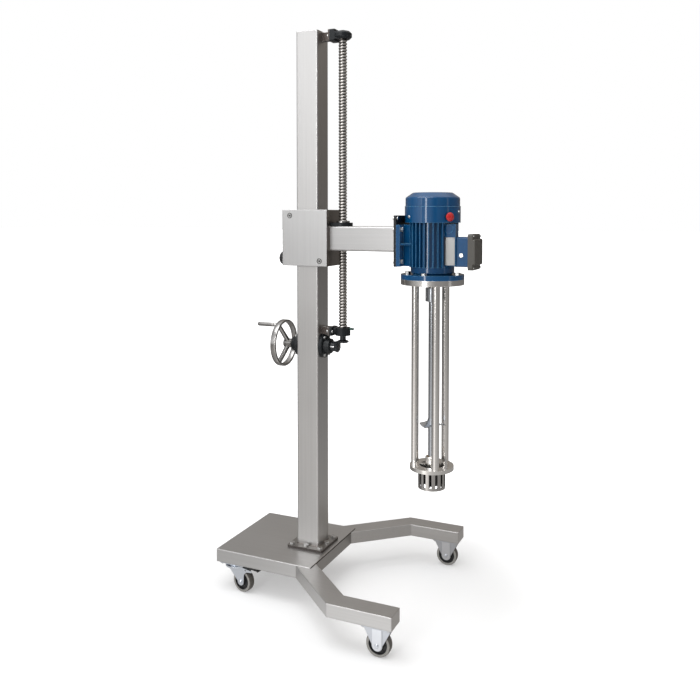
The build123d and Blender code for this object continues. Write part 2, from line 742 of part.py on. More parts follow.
# Bolts of the brackets and crank bearings; the top bracket's are screwed into its block from behind
top_screw = hex_bolt(bracket_bolt_diameter, spacer_plate + top_tapped_depth, nut=False)
bottom_bolt = hex_bolt(bracket_bolt_diameter, bottom_flange_thickness + spacer_plate)
bearing_bolt = hex_bolt(bearing_bolt_diameter, bearing_flange_thickness + column_wall)
bearing_face = column_half + bearing_flange_thickness
with BuildPart() as frame_bolts:
    with Locations(*[facing(spacer_back, side * top_bolt_y, top_eye_z, (-1, 0, 0)) for side in (-1, 1)]):
        add(top_screw)
    with Locations(*[facing(bottom_flange_front, side * bottom_bolt_y, bottom_bolt_z, (1, 0, 0))
                     for side in (-1, 1)]):
        add(bottom_bolt)
    with Locations(*[facing(column_x + side * bearing_face, y, crank_height + z, (side, 0, 0))
                     for side in (-1, 1) for y, z in bearing_bolt_places]):
        add(bearing_bolt)
save(frame_bolts, "frame_bolts")

# Crank shaft through the column, from the handwheel to the bevel gear
wheel_face_x = column_x - column_half - bearing_flange_thickness - far_boss_length
hub_start_x = wheel_face_x - moving_clearance
hub_end_x = hub_start_x - handwheel_hub_length
crank_gear_face = screw_x - gear_pitch_radius
gear_tip_radius = gear_pitch_radius - gear_face_width * cos(radians(45))
gear_blank_radius = gear_pitch_radius - moving_clearance
gear_inner_radius = gear_tip_radius - moving_clearance
gear_back = 4
crank_gear_hub_x = column_front + bearing_flange_thickness + near_boss_length + moving_clearance
shaft_tip_x = screw_x - gear_tip_radius + 1
with BuildPart() as cross_shaft:
    with BuildSketch(Plane(origin=(hub_end_x - 2, 0, crank_height), x_dir=(0, 1, 0), z_dir=(1, 0, 0))):
        Circle(cross_shaft_diameter / 2)
    extrude(amount=crank_gear_hub_x - hub_end_x + 2)
    with BuildSketch(Plane(origin=(crank_gear_hub_x, 0, crank_height), x_dir=(0, 1, 0), z_dir=(1, 0, 0))):
        Circle(cross_shaft_diameter * 0.4)
    extrude(amount=shaft_tip_x - crank_gear_hub_x)
    chamfer(cross_shaft.edges().group_by(Axis.X)[0], 1)
save(cross_shaft, "cross_shaft")


def mitre_gear(hub_length, hub_diameter):
    """Mitre gear along Z with the shafts' crossing at the origin, its hub behind the teeth."""
    shaft_radius = cross_shaft_diameter * 0.4
    hub_end = gear_pitch_radius + gear_back + hub_length
    with BuildPart() as gear:
        with BuildSketch(Plane.XZ):
            with BuildLine():
                hub_radius = hub_diameter / 2
                Polyline((shaft_radius, gear_tip_radius), (gear_inner_radius, gear_tip_radius),
                         (gear_blank_radius, gear_pitch_radius), (hub_radius, gear_pitch_radius + gear_back),
                         (hub_radius, hub_end), (shaft_radius, hub_end), close=True)
            make_face()
        revolve(axis=Axis.Z)
    return gear.part


# Mitre gear pair, pitch cones meeting where the two shafts cross
crank_gear_blank = mitre_gear(crank_gear_face - gear_back - crank_gear_hub_x, crank_gear_hub_diameter)
with BuildPart() as crank_gear:
    with Locations(facing(screw_x, 0, crank_height, (-1, 0, 0))):
        add(crank_gear_blank)
save(crank_gear, "crank_gear")

gear_seat_top = bottom_eye_z - bottom_eye_height / 2 - moving_clearance
screw_gear_hub_length = gear_seat_top - crank_height - gear_pitch_radius - gear_back
screw_gear_blank = mitre_gear(screw_gear_hub_length, screw_gear_hub_diameter)
with BuildPart() as screw_gear:
    with Locations((screw_x, 0, crank_height)):
        add(screw_gear_blank)
save(screw_gear, "screw_gear")

# Lead screw: threaded length between the brackets, a journal in each, and the gear seat at its foot
screw_bottom = bottom_eye_z + bottom_eye_height / 2 + moving_clearance
screw_top = top_eye_z - top_eye_height / 2 - moving_clearance
with BuildPart() as lead_screw:
    with BuildSketch(Plane(origin=(screw_x, 0, 0), x_dir=(1, 0, 0), z_dir=(0, -1, 0))):
        with BuildLine():
            seat_radius = cross_shaft_diameter * 0.4
            journal = journal_diameter / 2
            Polyline((0, crank_height + gear_tip_radius - 1), (seat_radius, crank_height + gear_tip_radius - 1),
                     (seat_radius, gear_seat_top), (journal, gear_seat_top), (journal, screw_bottom),
                     (screw_diameter / 2, screw_bottom), (screw_diameter / 2, screw_top),
                     (journal, screw_top), (journal, top_eye_z + top_eye_height / 2 + 4),
                     (0, top_eye_z + top_eye_height / 2 + 4), close=True)
        make_face()
    revolve(axis=Axis((screw_x, 0, 0), (0, 0, 1)))
save(lead_screw, "lead_screw")

# Handwheel: rounded rim, three dished spokes and a hub keyed to the crank shaft, with the handle's pin
rim_x = column_x - wheel_plane_offset
rim_radius = (handwheel_diameter - rim_height) / 2
handle_angle = 120
handle_y = rim_radius * cos(radians(handle_angle))
handle_z = crank_height + rim_radius * sin(radians(handle_angle))
handle_start = rim_x - rim_depth / 2
with BuildPart() as handwheel:
    with BuildSketch(Plane(origin=(rim_x, 0, crank_height), x_dir=(1, 0, 0), z_dir=(0, -1, 0))):
        with Locations((0, rim_radius)):
            RectangleRounded(rim_depth, rim_height, rim_height * 0.3)
    revolve(axis=Axis((rim_x, 0, crank_height), (1, 0, 0)))
    for angle in (0, 120, 240):
        out = (cos(radians(angle)), sin(radians(angle)))
        start = Vector(hub_start_x - handwheel_hub_length * 0.6, out[0] * 8, crank_height + out[1] * 8)
        finish = Vector(rim_x, out[0] * rim_radius, crank_height + out[1] * rim_radius)
        with BuildSketch(Plane(origin=start, x_dir=(0, -out[1], out[0]), z_dir=finish - start)):
            RectangleRounded(rim_height * 1.5, rim_depth * 0.5, 4)
        extrude(amount=(finish - start).length)
    with BuildSketch(Plane(origin=(hub_start_x, 0, crank_height), x_dir=(0, 1, 0), z_dir=(-1, 0, 0))):
        Circle(handwheel_hub_diameter / 2)
    extrude(amount=handwheel_hub_length)
    with BuildSketch(Plane(origin=(hub_start_x + 1, 0, crank_height), x_dir=(0, 1, 0), z_dir=(-1, 0, 0))):
        Circle(cross_shaft_diameter / 2)
    extrude(amount=handwheel_hub_length + 2, mode=Mode.SUBTRACT)
    with BuildSketch(Plane(origin=(rim_x, handle_y, handle_z), x_dir=(0, 1, 0), z_dir=(-1, 0, 0))):
        Circle(handle_pin_diameter / 2)
    extrude(amount=rim_depth / 2 + handle_collar + handle_length + 2)
    with BuildSketch(Plane(origin=(handle_start + 1, handle_y, handle_z), x_dir=(0, 1, 0), z_dir=(-1, 0, 0))):
        Circle(handle_diameter / 2)
    extrude(amount=handle_collar - moving_clearance)
save(handwheel, "handwheel")

# Handle grip: a plain sleeve that turns on its pin
grip_start = handle_start - handle_collar + 1
with BuildPart() as handle_grip:
    with BuildSketch(Plane(origin=(grip_start, handle_y, handle_z), x_dir=(0, 1, 0), z_dir=(-1, 0, 0))):
        Circle(handle_diameter / 2)
        Circle(handle_pin_diameter / 2 + running_clearance, mode=Mode.SUBTRACT)
    extrude(amount=handle_length)
    chamfer(handle_grip.edges().group_by(Axis.X)[0].sort_by(SortBy.LENGTH)[-1], 1)
save(handle_grip, "handle_grip")

# Carriage: welded plate box around the column, open above and below
roller_places = [(-roller_offset, upper_roller_z), (roller_offset, lower_roller_z)]
stud_hole = stud_diameter / 2 + running_clearance
lock_boss = 10
with BuildPart() as carriage_box:
    with BuildSketch(Plane.XY.offset(carriage_bottom)):
        with Locations((column_x, 0)):
            Rectangle(carriage_width, carriage_depth)
            Rectangle(carriage_width - 2 * carriage_wall, carriage_depth - 2 * carriage_wall, mode=Mode.SUBTRACT)
    extrude(amount=carriage_height)
    with BuildSketch(Plane(origin=(column_x, 0, 0), x_dir=(1, 0, 0), z_dir=(0, -1, 0))):
        with Locations(*roller_places):
            Circle(roller_pin_diameter / 2)
    extrude(amount=carriage_depth, both=True, mode=Mode.SUBTRACT)
    with BuildSketch(Plane(origin=(column_x, -carriage_depth / 2, 0), x_dir=(1, 0, 0), z_dir=(0, -1, 0))):
        with Locations(*roller_places):
            Circle(roller_screw_head / 2 + bolt_clearance)
    extrude(amount=-carriage_wall * 0.7, mode=Mode.SUBTRACT)
    with BuildSketch(Plane(origin=(carriage_rear, 0, knob_height), x_dir=(0, 1, 0), z_dir=(-1, 0, 0))):
        Circle(stud_diameter)
    extrude(amount=lock_boss)
    with BuildSketch(Plane(origin=(carriage_rear - lock_boss, 0, knob_height), x_dir=(0, 1, 0), z_dir=(1, 0, 0))):
        Circle(stud_hole)
    extrude(amount=lock_boss + carriage_wall, mode=Mode.SUBTRACT)
save(carriage_box, "carriage_box")

# Guide pads: nylon blocks that keep the carriage square to the column's front and back
with BuildPart() as guide_pads:
    pad_reach = carriage_depth / 2 - carriage_wall - column_half - moving_clearance
    for side in (-1, 1):
        pad_y = side * (column_half + moving_clearance + pad_reach / 2)
        for low in (carriage_bottom + 4, carriage_top - 4 - pad_block_height):
            with BuildSketch(Plane(origin=(column_x, pad_y, low))):
                RectangleRounded(pad_block_width, pad_reach, 2)
            extrude(amount=pad_block_height)
save(guide_pads, "guide_pads")

# Guide rollers and the screws that carry them
for (offset_x, roller_z), place in zip(roller_places, ("upper", "lower")):
    with BuildPart() as roller:
        with BuildSketch(Plane(origin=(column_x + offset_x, 0, roller_z), x_dir=(1, 0, 0), z_dir=(0, -1, 0))):
            Circle(roller_diameter / 2)
            Circle(roller_pin_diameter / 2 + running_clearance, mode=Mode.SUBTRACT)
        extrude(amount=roller_length / 2, both=True)
    save(roller, f"guide_roller_{place}")

with BuildPart() as roller_pins:
    head_depth = carriage_wall * 0.7
    for offset_x, roller_z in roller_places:
        pin_start = Plane(origin=(column_x + offset_x, -carriage_depth / 2, roller_z), x_dir=(1, 0, 0),
                          z_dir=(0, -1, 0))
        with BuildSketch(pin_start.offset(-head_depth)):
            Circle(roller_screw_head / 2)
        extrude(amount=head_depth)
        with BuildSketch(pin_start):
            Rectangle(roller_screw_head * 0.8, 2)
        extrude(amount=-head_depth * 0.4, mode=Mode.SUBTRACT)
        with BuildSketch(pin_start.offset(-head_depth)):
            Circle(roller_pin_diameter / 2)
        extrude(amount=-(carriage_depth - head_depth))
        with BuildSketch(pin_start.offset(-carriage_depth)):
            RegularPolygon(roller_pin_diameter * 0.85, 6, major_radius=False)
        extrude(amount=-roller_pin_diameter * 0.6)
save(roller_pins, "roller_pins")

# Lock knob: turned in, its stud presses on the column
knob_start = carriage_rear - lock_boss - 1
with BuildPart() as lock_knob:
    with BuildSketch(Plane(origin=(knob_start, 0, knob_height), x_dir=(-1, 0, 0), z_dir=(0, 1, 0))):
        with BuildLine():
            radius = knob_diameter / 2
            stud_end = knob_start - column_rear + 0.5
            Polyline((stud_end, 0), (stud_end, stud_diameter / 2),
                     (0, stud_diameter / 2), (0, stud_diameter), (6, stud_diameter), (6, radius - 2), (8, radius),
                     (4 + knob_depth, radius), (6 + knob_depth, radius - 2), (6 + knob_depth, knob_dome_radius))
            ThreePointArc((6 + knob_depth, knob_dome_radius),
                          dome_point(6 + knob_depth, knob_dome_radius, knob_dome_height),
                          (6 + knob_depth + knob_dome_height, 0))
            Line((6 + knob_depth + knob_dome_height, 0), (stud_end, 0))
        make_face()
    revolve(axis=Axis((knob_start, 0, knob_height), (1, 0, 0)))
    with BuildSketch(Plane(origin=(knob_start - 6, 0, knob_height), x_dir=(0, 1, 0), z_dir=(-1, 0, 0))):
        with PolarLocations(radius + 1.2, 12):
            Circle(2.6)
    extrude(amount=knob_depth, mode=Mode.SUBTRACT)
save(lock_knob, "lock_knob")

# Arm: square tube from the carriage to the motor plate, with a window for the lead screw
with BuildPart() as arm:
    with BuildSketch(Plane(origin=(carriage_front, 0, arm_middle_z), x_dir=(0, 1, 0), z_dir=(1, 0, 0))):
        RectangleRounded(arm_size, arm_size, arm_corner)
        RectangleRounded(arm_size - 2 * arm_wall, arm_size - 2 * arm_wall, arm_corner - arm_wall + 1,
                         mode=Mode.SUBTRACT)
    extrude(amount=end_plate_x - carriage_front)
    with BuildSketch(Plane.XY.offset(arm_middle_z)):
        with Locations((screw_x, 0)):
            Circle(nut_body_diameter / 2 + bolt_clearance)
    extrude(amount=arm_size, both=True, mode=Mode.SUBTRACT)
save(arm, "arm")

# Nut plate on the arm, rounded about the screw, and the nut that stands through it
nut_plate_top = arm_top + nut_plate_thickness
with BuildPart() as nut_plate:
    with BuildSketch(Plane.XY.offset(arm_top)):
        with BuildLine():
            Polyline((screw_x, nut_plate_radius), (carriage_front, nut_plate_radius),
                     (carriage_front, -nut_plate_radius), (screw_x, -nut_plate_radius))
            ThreePointArc((screw_x, -nut_plate_radius), (screw_x + nut_plate_radius, 0),
                          (screw_x, nut_plate_radius))
        make_face()
        with Locations((screw_x, 0)):
            Circle(nut_body_diameter / 2 + bolt_clearance, mode=Mode.SUBTRACT)
    extrude(amount=nut_plate_thickness)
save(nut_plate, "nut_plate")

with BuildPart() as lift_nut:
    with BuildSketch(Plane.XY.offset(nut_plate_top + nut_collar_height - nut_length)):
        with Locations((screw_x, 0)):
            Circle(nut_body_diameter / 2)
    extrude(amount=nut_length)
    with BuildSketch(Plane.XY.offset(nut_plate_top)):
        with Locations((screw_x, 0)):
            Circle(nut_collar_diameter / 2)
    extrude(amount=nut_collar_height)
    chamfer(lift_nut.edges().group_by(Axis.Z)[-1], 1)
    with BuildSketch(Plane.XY.offset(nut_plate_top + nut_collar_height - nut_length)):
        with Locations((screw_x, 0)):
            Circle(screw_diameter / 2 + running_clearance)
    extrude(amount=nut_length, mode=Mode.SUBTRACT)
save(lift_nut, "lift_nut")

# End plate of the arm, which the motor's feet are bolted to
end_plate_z = arm_middle_z - 4
foot_hole_places = [(s * foot_hole_across / 2, foot_middle_z + t * foot_hole_along / 2)
                    for s in (-1, 1) for t in (-1, 1)]
corner_places = [(s * (end_plate_width / 2 - corner_screw_inset),
                  end_plate_z + end_plate_height / 2 - corner_screw_inset) for s in (-1, 1)]
with BuildPart() as arm_end_plate:
    with BuildSketch(Plane(origin=(end_plate_x, 0, end_plate_z), x_dir=(0, 1, 0), z_dir=(1, 0, 0))):
        RectangleRounded(end_plate_width, end_plate_height, 4)
    extrude(amount=end_plate_thickness)
    with BuildSketch(Plane(origin=(end_plate_x, 0, 0), x_dir=(0, 1, 0), z_dir=(1, 0, 0))):
        with Locations(*foot_hole_places):
            Circle(foot_bolt_size / 2 + bolt_clearance)
        with Locations(*corner_places):
            Circle(corner_screw_diameter / 2 + bolt_clearance)
    extrude(amount=end_plate_thickness, mode=Mode.SUBTRACT)
save(arm_end_plate, "arm_end_plate")


def motor_side(out, radius, z):
    """Plane that faces out from the motor's axis at a distance and height, its x axis level."""
    return Plane(origin=(head_x + out[0] * radius, out[1] * radius, z), x_dir=(-out[1], out[0], 0), z_dir=out)


# Motor housing: finned barrel, drive end shield with its mounting flange, and two feet
flange_bolt_places = [(flange_bolt_circle / 2 * cos(radians(a)), flange_bolt_circle / 2 * sin(radians(a)))
                      for a in (0, 90, 180, 270)]
rotor_bore = rotor_diameter / 2 + moving_clearance
barrel_radius = barrel_diameter / 2
with BuildPart() as motor_housing:
    with BuildSketch(Plane.XY.offset(flange_face_z)):
        with Locations((head_x, 0)):
            Circle(flange_diameter / 2)
            with Locations(*flange_bolt_places):
                Circle(flange_bolt_size / 2 + bolt_clearance, mode=Mode.SUBTRACT)
    extrude(amount=flange_thickness)
    with BuildSketch(Plane(origin=(head_x, 0, 0), x_dir=(1, 0, 0), z_dir=(0, -1, 0))):
        with BuildLine():
            Polyline((0, flange_back_z - 1), (barrel_radius - 8, flange_back_z - 1),
                     (barrel_radius + 1, flange_back_z + 6), (barrel_radius + 1, barrel_bottom_z),
                     (barrel_radius, barrel_bottom_z), (barrel_radius, barrel_top_z), (0, barrel_top_z),
                     close=True)
        make_face()
    revolve(axis=Axis((head_x, 0, 0), (0, 0, 1)))
    fin_reach = (fin_diameter - barrel_diameter) / 2 + 2
    fin_angles = [i * 360 / fin_count for i in range(fin_count)]
    plain_sides = ((-11, 36), (180, 42))
    with BuildSketch(Plane.XY.offset(barrel_bottom_z)):
        for angle in fin_angles:
            if all(abs((angle - middle + 180) % 360 - 180) > half for middle, half in plain_sides):
                out = outward(angle)
                middle_radius = fin_diameter / 2 - fin_reach / 2
                fin_middle = (head_x + out[0] * middle_radius, out[1] * middle_radius, 0)
                with Locations(Location(fin_middle, (0, 0, angle))):
                    Rectangle(fin_reach, fin_thickness)
    extrude(amount=barrel_top_z - barrel_bottom_z)
    plate_z = box_middle_z + 2
    rib_thickness = 5
    rib_z = foot_middle_z + 2
    for side in (-1, 1):
        foot_out = foot_hole_across / 2 + 17.5
        with BuildSketch(Plane(origin=(head_x, 0, foot_middle_z - foot_length / 2))):
            with BuildLine():
                back = -shaft_height
                Polyline((back, side * foot_out), (back + foot_thickness, side * foot_out),
                         (back + foot_thickness, side * (foot_out - 34)), (-44, side * 60), (-30, side * 40),
                         (-50, side * 30), (back + foot_thickness + 8, side * (foot_out - 44)),
                         (back, side * (foot_out - 44)), close=True)
            make_face()
        extrude(amount=foot_length)
        with BuildSketch(Plane.XY.offset(rib_z)):
            with BuildLine():
                foot_front = foot_plane_x + foot_thickness
                Polyline((foot_front - 1, side * (foot_out - 4)), (head_x - 42, side * 62),
                         (head_x - 42, side * 40), (foot_front - 1, side * (foot_out - 38)), close=True)
            make_face()
        extrude(amount=rib_thickness)
    pad_end = fin_diameter / 2 - moving_clearance
    with BuildSketch(Plane.XY.offset(plate_z - plate_height / 2 - 2)):
        with BuildLine():
            lip_y = -box_width / 2 - moving_clearance
            lip_x = head_x + pad_start + plate_width + 4
            Polyline((head_x + pad_start, 0), (head_x + pad_start, -pad_face), (lip_x, -pad_face),
                     (lip_x, lip_y), (head_x + pad_end, lip_y), (head_x + pad_end, 0), close=True)
        make_face()
    extrude(amount=barrel_top_z - plate_z + plate_height / 2 - 4)
    with BuildSketch(Plane(origin=(head_x + badge_offset, -pad_face, badge_z), x_dir=(1, 0, 0),
                           z_dir=(0, -1, 0))):
        Circle(badge_diameter / 2)
    extrude(amount=2)
    with BuildSketch(motor_side((1, 0, 0), barrel_radius - 12, box_middle_z)):
        Rectangle(box_width - 10, box_height - 8)
    extrude(amount=fin_diameter / 2 - barrel_radius + 12)
    with BuildSketch(Plane.XY.offset(barrel_bottom_z)):
        with Locations((head_x, 0)):
            Circle(rotor_bore)
    extrude(amount=barrel_top_z - barrel_bottom_z, mode=Mode.SUBTRACT)
    with BuildSketch(Plane.XY.offset(flange_face_z)):
        with Locations((head_x, 0)):
            Circle(motor_shaft_diameter / 2 + running_clearance)
    extrude(amount=barrel_bottom_z - flange_face_z, mode=Mode.SUBTRACT)
    with BuildSketch(Plane(origin=(foot_plane_x, 0, 0), x_dir=(0, 1, 0), z_dir=(1, 0, 0))):
        with Locations(*foot_hole_places):
            Circle(foot_bolt_size / 2 + bolt_clearance)
    extrude(amount=foot_thickness, mode=Mode.SUBTRACT)
save(motor_housing, "motor_housing")

# Rear end shield, which carries the shaft's upper bearing under the fan
shield_top_z = barrel_top_z + rear_shield_thickness
rear_shaft_diameter = 20
with BuildPart() as rear_end_shield:
    with BuildSketch(Plane.XY.offset(barrel_top_z)):
        with Locations((head_x, 0)):
            Circle(cowl_diameter / 2 - cowl_wall - 0.2)
            Circle(rear_shaft_diameter / 2 + running_clearance, mode=Mode.SUBTRACT)
    extrude(amount=rear_shield_thickness)
save(rear_end_shield, "rear_end_shield")

# Rotor: laminated core and shaft, running in the housing and out through its flange
fan_z = shield_top_z + 10
fan_height = 30
with BuildPart() as motor_rotor:
    with BuildSketch(Plane(origin=(head_x, 0, 0), x_dir=(1, 0, 0), z_dir=(0, -1, 0))):
        with BuildLine():
            end_gap = 4
            shaft = motor_shaft_diameter / 2
            Polyline((0, flange_face_z - shaft_length), (shaft, flange_face_z - shaft_length),
                     (shaft, barrel_bottom_z + end_gap), (rotor_diameter / 2, barrel_bottom_z + end_gap),
                     (rotor_diameter / 2, barrel_top_z - end_gap),
                     (rear_shaft_diameter / 2, barrel_top_z - end_gap),
                     (rear_shaft_diameter / 2, fan_z + fan_height), (0, fan_z + fan_height), close=True)
        make_face()
    revolve(axis=Axis((head_x, 0, 0), (0, 0, 1)))
save(motor_rotor, "motor_rotor")

# Cooling fan: hub, disc and straight blades
fan_blades = 8
with BuildPart() as cooling_fan:
    with BuildSketch(Plane.XY.offset(fan_z)):
        with Locations((head_x, 0)):
            Circle(fan_diameter / 2)
    extrude(amount=3)
    with BuildSketch(Plane.XY.offset(fan_z)):
        with Locations((head_x, 0)):
            Circle(rear_shaft_diameter / 2 + 6)
    extrude(amount=fan_height)
    with BuildSketch(Plane.XY.offset(fan_z)):
        with Locations((head_x, 0)):
            with PolarLocations(fan_diameter / 4 + 5, fan_blades):
                Rectangle(fan_diameter / 2 - 12, 3)
    extrude(amount=fan_height)
    with BuildSketch(Plane.XY.offset(fan_z)):
        with Locations((head_x, 0)):
            Circle(rear_shaft_diameter / 2)
    extrude(amount=fan_height, mode=Mode.SUBTRACT)
save(cooling_fan, "cooling_fan")

# Fan cowl: a drawn shell with a shoulder, a step line and a slotted top
cowl_radius = cowl_diameter / 2
button_out = outward(button_angle)
collar_start = cowl_radius - cowl_wall - 1
with BuildPart() as fan_cowl:
    with BuildSketch(Plane(origin=(head_x, 0, 0), x_dir=(1, 0, 0), z_dir=(0, -1, 0))) as cowl_section:
        with BuildLine():
            upper = cowl_radius - cowl_wall
            Polyline((0, cowl_top_z), (cowl_flat_diameter / 2, cowl_top_z), (upper, cowl_top_z - cowl_shoulder),
                     (upper, cowl_step_z), (cowl_radius, cowl_step_z), (cowl_radius, barrel_top_z - 2),
                     (cowl_radius - cowl_wall, barrel_top_z - 2),
                     (cowl_radius - cowl_wall, cowl_step_z - cowl_wall),
                     (upper - cowl_wall, cowl_step_z - cowl_wall),
                     (upper - cowl_wall, cowl_top_z - cowl_shoulder - cowl_wall / 2),
                     (cowl_flat_diameter / 2 - cowl_wall / 2, cowl_top_z - cowl_wall),
                     (0, cowl_top_z - cowl_wall), close=True)
        make_face()
        top_corner = cowl_section.vertices().group_by(Axis.Y)[-1].sort_by(Axis.X)[-1]
        side_corner = cowl_section.vertices().group_by(Axis.X)[-2].sort_by(Axis.Y)[-1]
        fillet([top_corner, side_corner], cowl_rounding)
    revolve(axis=Axis((head_x, 0, 0), (0, 0, 1)))
    with BuildSketch(Plane.XY.offset(cowl_top_z)):
        with Locations((head_x, 0)):
            for ring_radius, slots in ((22, 6), (38, 10), (53, 14)):
                with PolarLocations(ring_radius, slots, start_angle=0):
                    SlotOverall(11, 4)
    extrude(amount=-3 * cowl_wall, mode=Mode.SUBTRACT)
    with BuildSketch(motor_side(button_out, collar_start, button_z)):
        Circle(8.5)
    extrude(amount=4 * cowl_wall, both=True, mode=Mode.SUBTRACT)
save(fan_cowl, "fan_cowl")

# Stop button: a collar clamped in the cowl and a mushroom head that is pushed in
collar_height = 5
button_rest = cowl_radius + collar_height + button_travel + moving_clearance
with BuildPart() as button_collar:
    with BuildSketch(motor_side(button_out, cowl_radius, button_z)):
        Circle(collar_diameter / 2)
    extrude(amount=collar_height)
    with BuildSketch(motor_side(button_out, cowl_radius, button_z)):
        Circle(8)
    extrude(amount=-8)
    with BuildSketch(motor_side(button_out, cowl_radius + collar_height, button_z)):
        Circle(5 + running_clearance)
    extrude(amount=-collar_height - 8, mode=Mode.SUBTRACT)
save(button_collar, "button_collar")

with BuildPart() as stop_button:
    button_root = (head_x, 0, button_z)
    with BuildSketch(Plane(origin=button_root, x_dir=button_out, z_dir=(button_out[1], -button_out[0], 0))):
        with BuildLine():
            head = button_diameter / 2
            Polyline((cowl_radius - 6, 0), (cowl_radius - 6, 5), (button_rest, 5), (button_rest, head - 1),
                     (button_rest + 1, head), (button_rest + 3.5, head))
            ThreePointArc((button_rest + 3.5, head), dome_point(button_rest + 3.5, head, 5),
                          (button_rest + 8.5, 0))
            Line((button_rest + 8.5, 0), (cowl_radius - 6, 0))
        make_face()
    revolve(axis=Axis(button_root, button_out))
save(stop_button, "stop_button")

# Terminal box: a walled box on the barrel, bored through both sides for the cable entries, and its lid
box_back_x = head_x + fin_diameter / 2
box_depth = lid_back_x - box_back_x
entry_x = box_back_x + box_depth * 0.5
with BuildPart() as terminal_box:
    with BuildSketch(Plane(origin=(box_back_x, 0, box_middle_z), x_dir=(0, 1, 0), z_dir=(1, 0, 0))):
        RectangleRounded(box_width, box_height, 5)
    extrude(amount=box_depth)
    with BuildSketch(Plane(origin=(lid_back_x, 0, box_middle_z), x_dir=(0, 1, 0), z_dir=(1, 0, 0))):
        RectangleRounded(box_width - 2 * box_wall, box_height - 2 * box_wall, 2)
    extrude(amount=-(box_depth - box_wall), mode=Mode.SUBTRACT)
    plug_z = box_middle_z - plug_drop
    with BuildSketch(Plane(origin=(entry_x, -box_width / 2, plug_z), x_dir=(1, 0, 0), z_dir=(0, -1, 0))):
        Circle(plug_thread_diameter / 2)
    extrude(amount=-box_wall, mode=Mode.SUBTRACT)
    with BuildSketch(Plane(origin=(entry_x, box_width / 2, box_middle_z), x_dir=(1, 0, 0), z_dir=(0, 1, 0))):
        Circle(gland_thread_diameter / 2)
    extrude(amount=-box_wall, mode=Mode.SUBTRACT)
save(terminal_box, "terminal_box")

with BuildPart() as terminal_lid:
    with BuildSketch(Plane(origin=(lid_back_x, 0, box_middle_z), x_dir=(0, 1, 0), z_dir=(1, 0, 0))):
        RectangleRounded(lid_width, lid_height, 8)
    extrude(amount=lid_rim_thickness)
    fillet(terminal_lid.edges().group_by(Axis.X)[-1], 3)
    with BuildSketch(Plane(origin=(lid_back_x, 0, box_middle_z), x_dir=(0, 1, 0), z_dir=(1, 0, 0))):
        RectangleRounded(lid_width, lid_centre_height, 6)
    extrude(amount=lid_thickness)
    fillet(terminal_lid.edges().group_by(Axis.X)[-1], 3)
save(terminal_lid, "terminal_lid")

# Cable entries: a plug towards the front, a gland with its cap towards the back
with BuildPart() as cable_entries:
    plug_face = Plane(origin=(entry_x, -box_width / 2, plug_z), x_dir=(1, 0, 0), z_dir=(0, -1, 0))
    with BuildSketch(plug_face.offset(-box_wall)):
        Circle(plug_thread_diameter / 2)
    extrude(amount=box_wall)
    with BuildSketch(plug_face):
        Circle(plug_head_diameter / 2)
    extrude(amount=3)
    gland_face = Plane(origin=(entry_x, box_width / 2, box_middle_z), x_dir=(1, 0, 0), z_dir=(0, 1, 0))
    with BuildSketch(gland_face.offset(-box_wall)):
        Circle(gland_thread_diameter / 2)
    extrude(amount=box_wall)
    with BuildSketch(gland_face):
        RegularPolygon(gland_thread_diameter * 0.6, 6, major_radius=False)
    extrude(amount=6)
    with BuildSketch(gland_face.offset(6)):
        Circle(gland_thread_diameter * 0.55)
    extrude(amount=gland_length - box_wall - 6, taper=8)
    with BuildSketch(gland_face.offset(-box_wall)):
        Circle(gland_bore_diameter / 2)
    extrude(amount=gland_length, mode=Mode.SUBTRACT)
save(cable_entries, "cable_entries")

# Bare rating plate on the housing's side pad
with BuildPart() as nameplate:
    plate_x = head_x + pad_start + 2 + plate_width / 2
    with BuildSketch(Plane(origin=(plate_x, -pad_face, plate_z), x_dir=(1, 0, 0), z_dir=(0, -1, 0))):
        RectangleRounded(plate_width, plate_height, 2)
    extrude(amount=plate_thickness)
save(nameplate, "nameplate")

# Bolts of the motor: four through its feet, four through its flange, and the end plate's corner screws
motor_foot_bolt = hex_bolt(foot_bolt_size, foot_thickness + end_plate_thickness)
flange_bolt = hex_bolt(flange_bolt_size, flange_thickness + adapter_thickness - 2, nut=False)
corner_screw = hex_bolt(corner_screw_diameter, end_plate_thickness)
with BuildPart() as motor_bolts:
    with Locations(*[facing(foot_plane_x + foot_thickness, y, z, (1, 0, 0)) for y, z in foot_hole_places]):
        add(motor_foot_bolt)
    with Locations(*[(head_x + x, y, flange_back_z) for x, y in flange_bolt_places]):
        add(flange_bolt)
    with Locations(*[facing(foot_plane_x, y, z, (1, 0, 0)) for y, z in corner_places]):
        add(corner_screw)
save(motor_bolts, "motor_bolts")

# Adapter flange under the motor, and the three rods that hang from it
with BuildPart() as adapter_flange:
    with BuildSketch(Plane.XY.offset(adapter_bottom_z)):
        with Locations((head_x, 0)):
            Circle(flange_diameter / 2)
            Circle(motor_shaft_diameter / 2 + 13, mode=Mode.SUBTRACT)
            with Locations(*flange_bolt_places):
                Circle(flange_bolt_size / 2, mode=Mode.SUBTRACT)
    extrude(amount=adapter_thickness)
    chamfer(adapter_flange.edges().group_by(Axis.Z)[0].sort_by(SortBy.LENGTH)[-1], 1)
save(adapter_flange, "adapter_flange")

rod_angles = (60, 180, 300)
with BuildPart() as head_rods:
    with BuildSketch(Plane.XY.offset(ring_top_z)):
        with Locations(*[(head_x + rod_circle / 2 * cos(radians(a)), rod_circle / 2 * sin(radians(a)))
                         for a in rod_angles]):
            Circle(rod_diameter / 2)
    extrude(amount=adapter_bottom_z - ring_top_z)
save(head_rods, "head_rods")

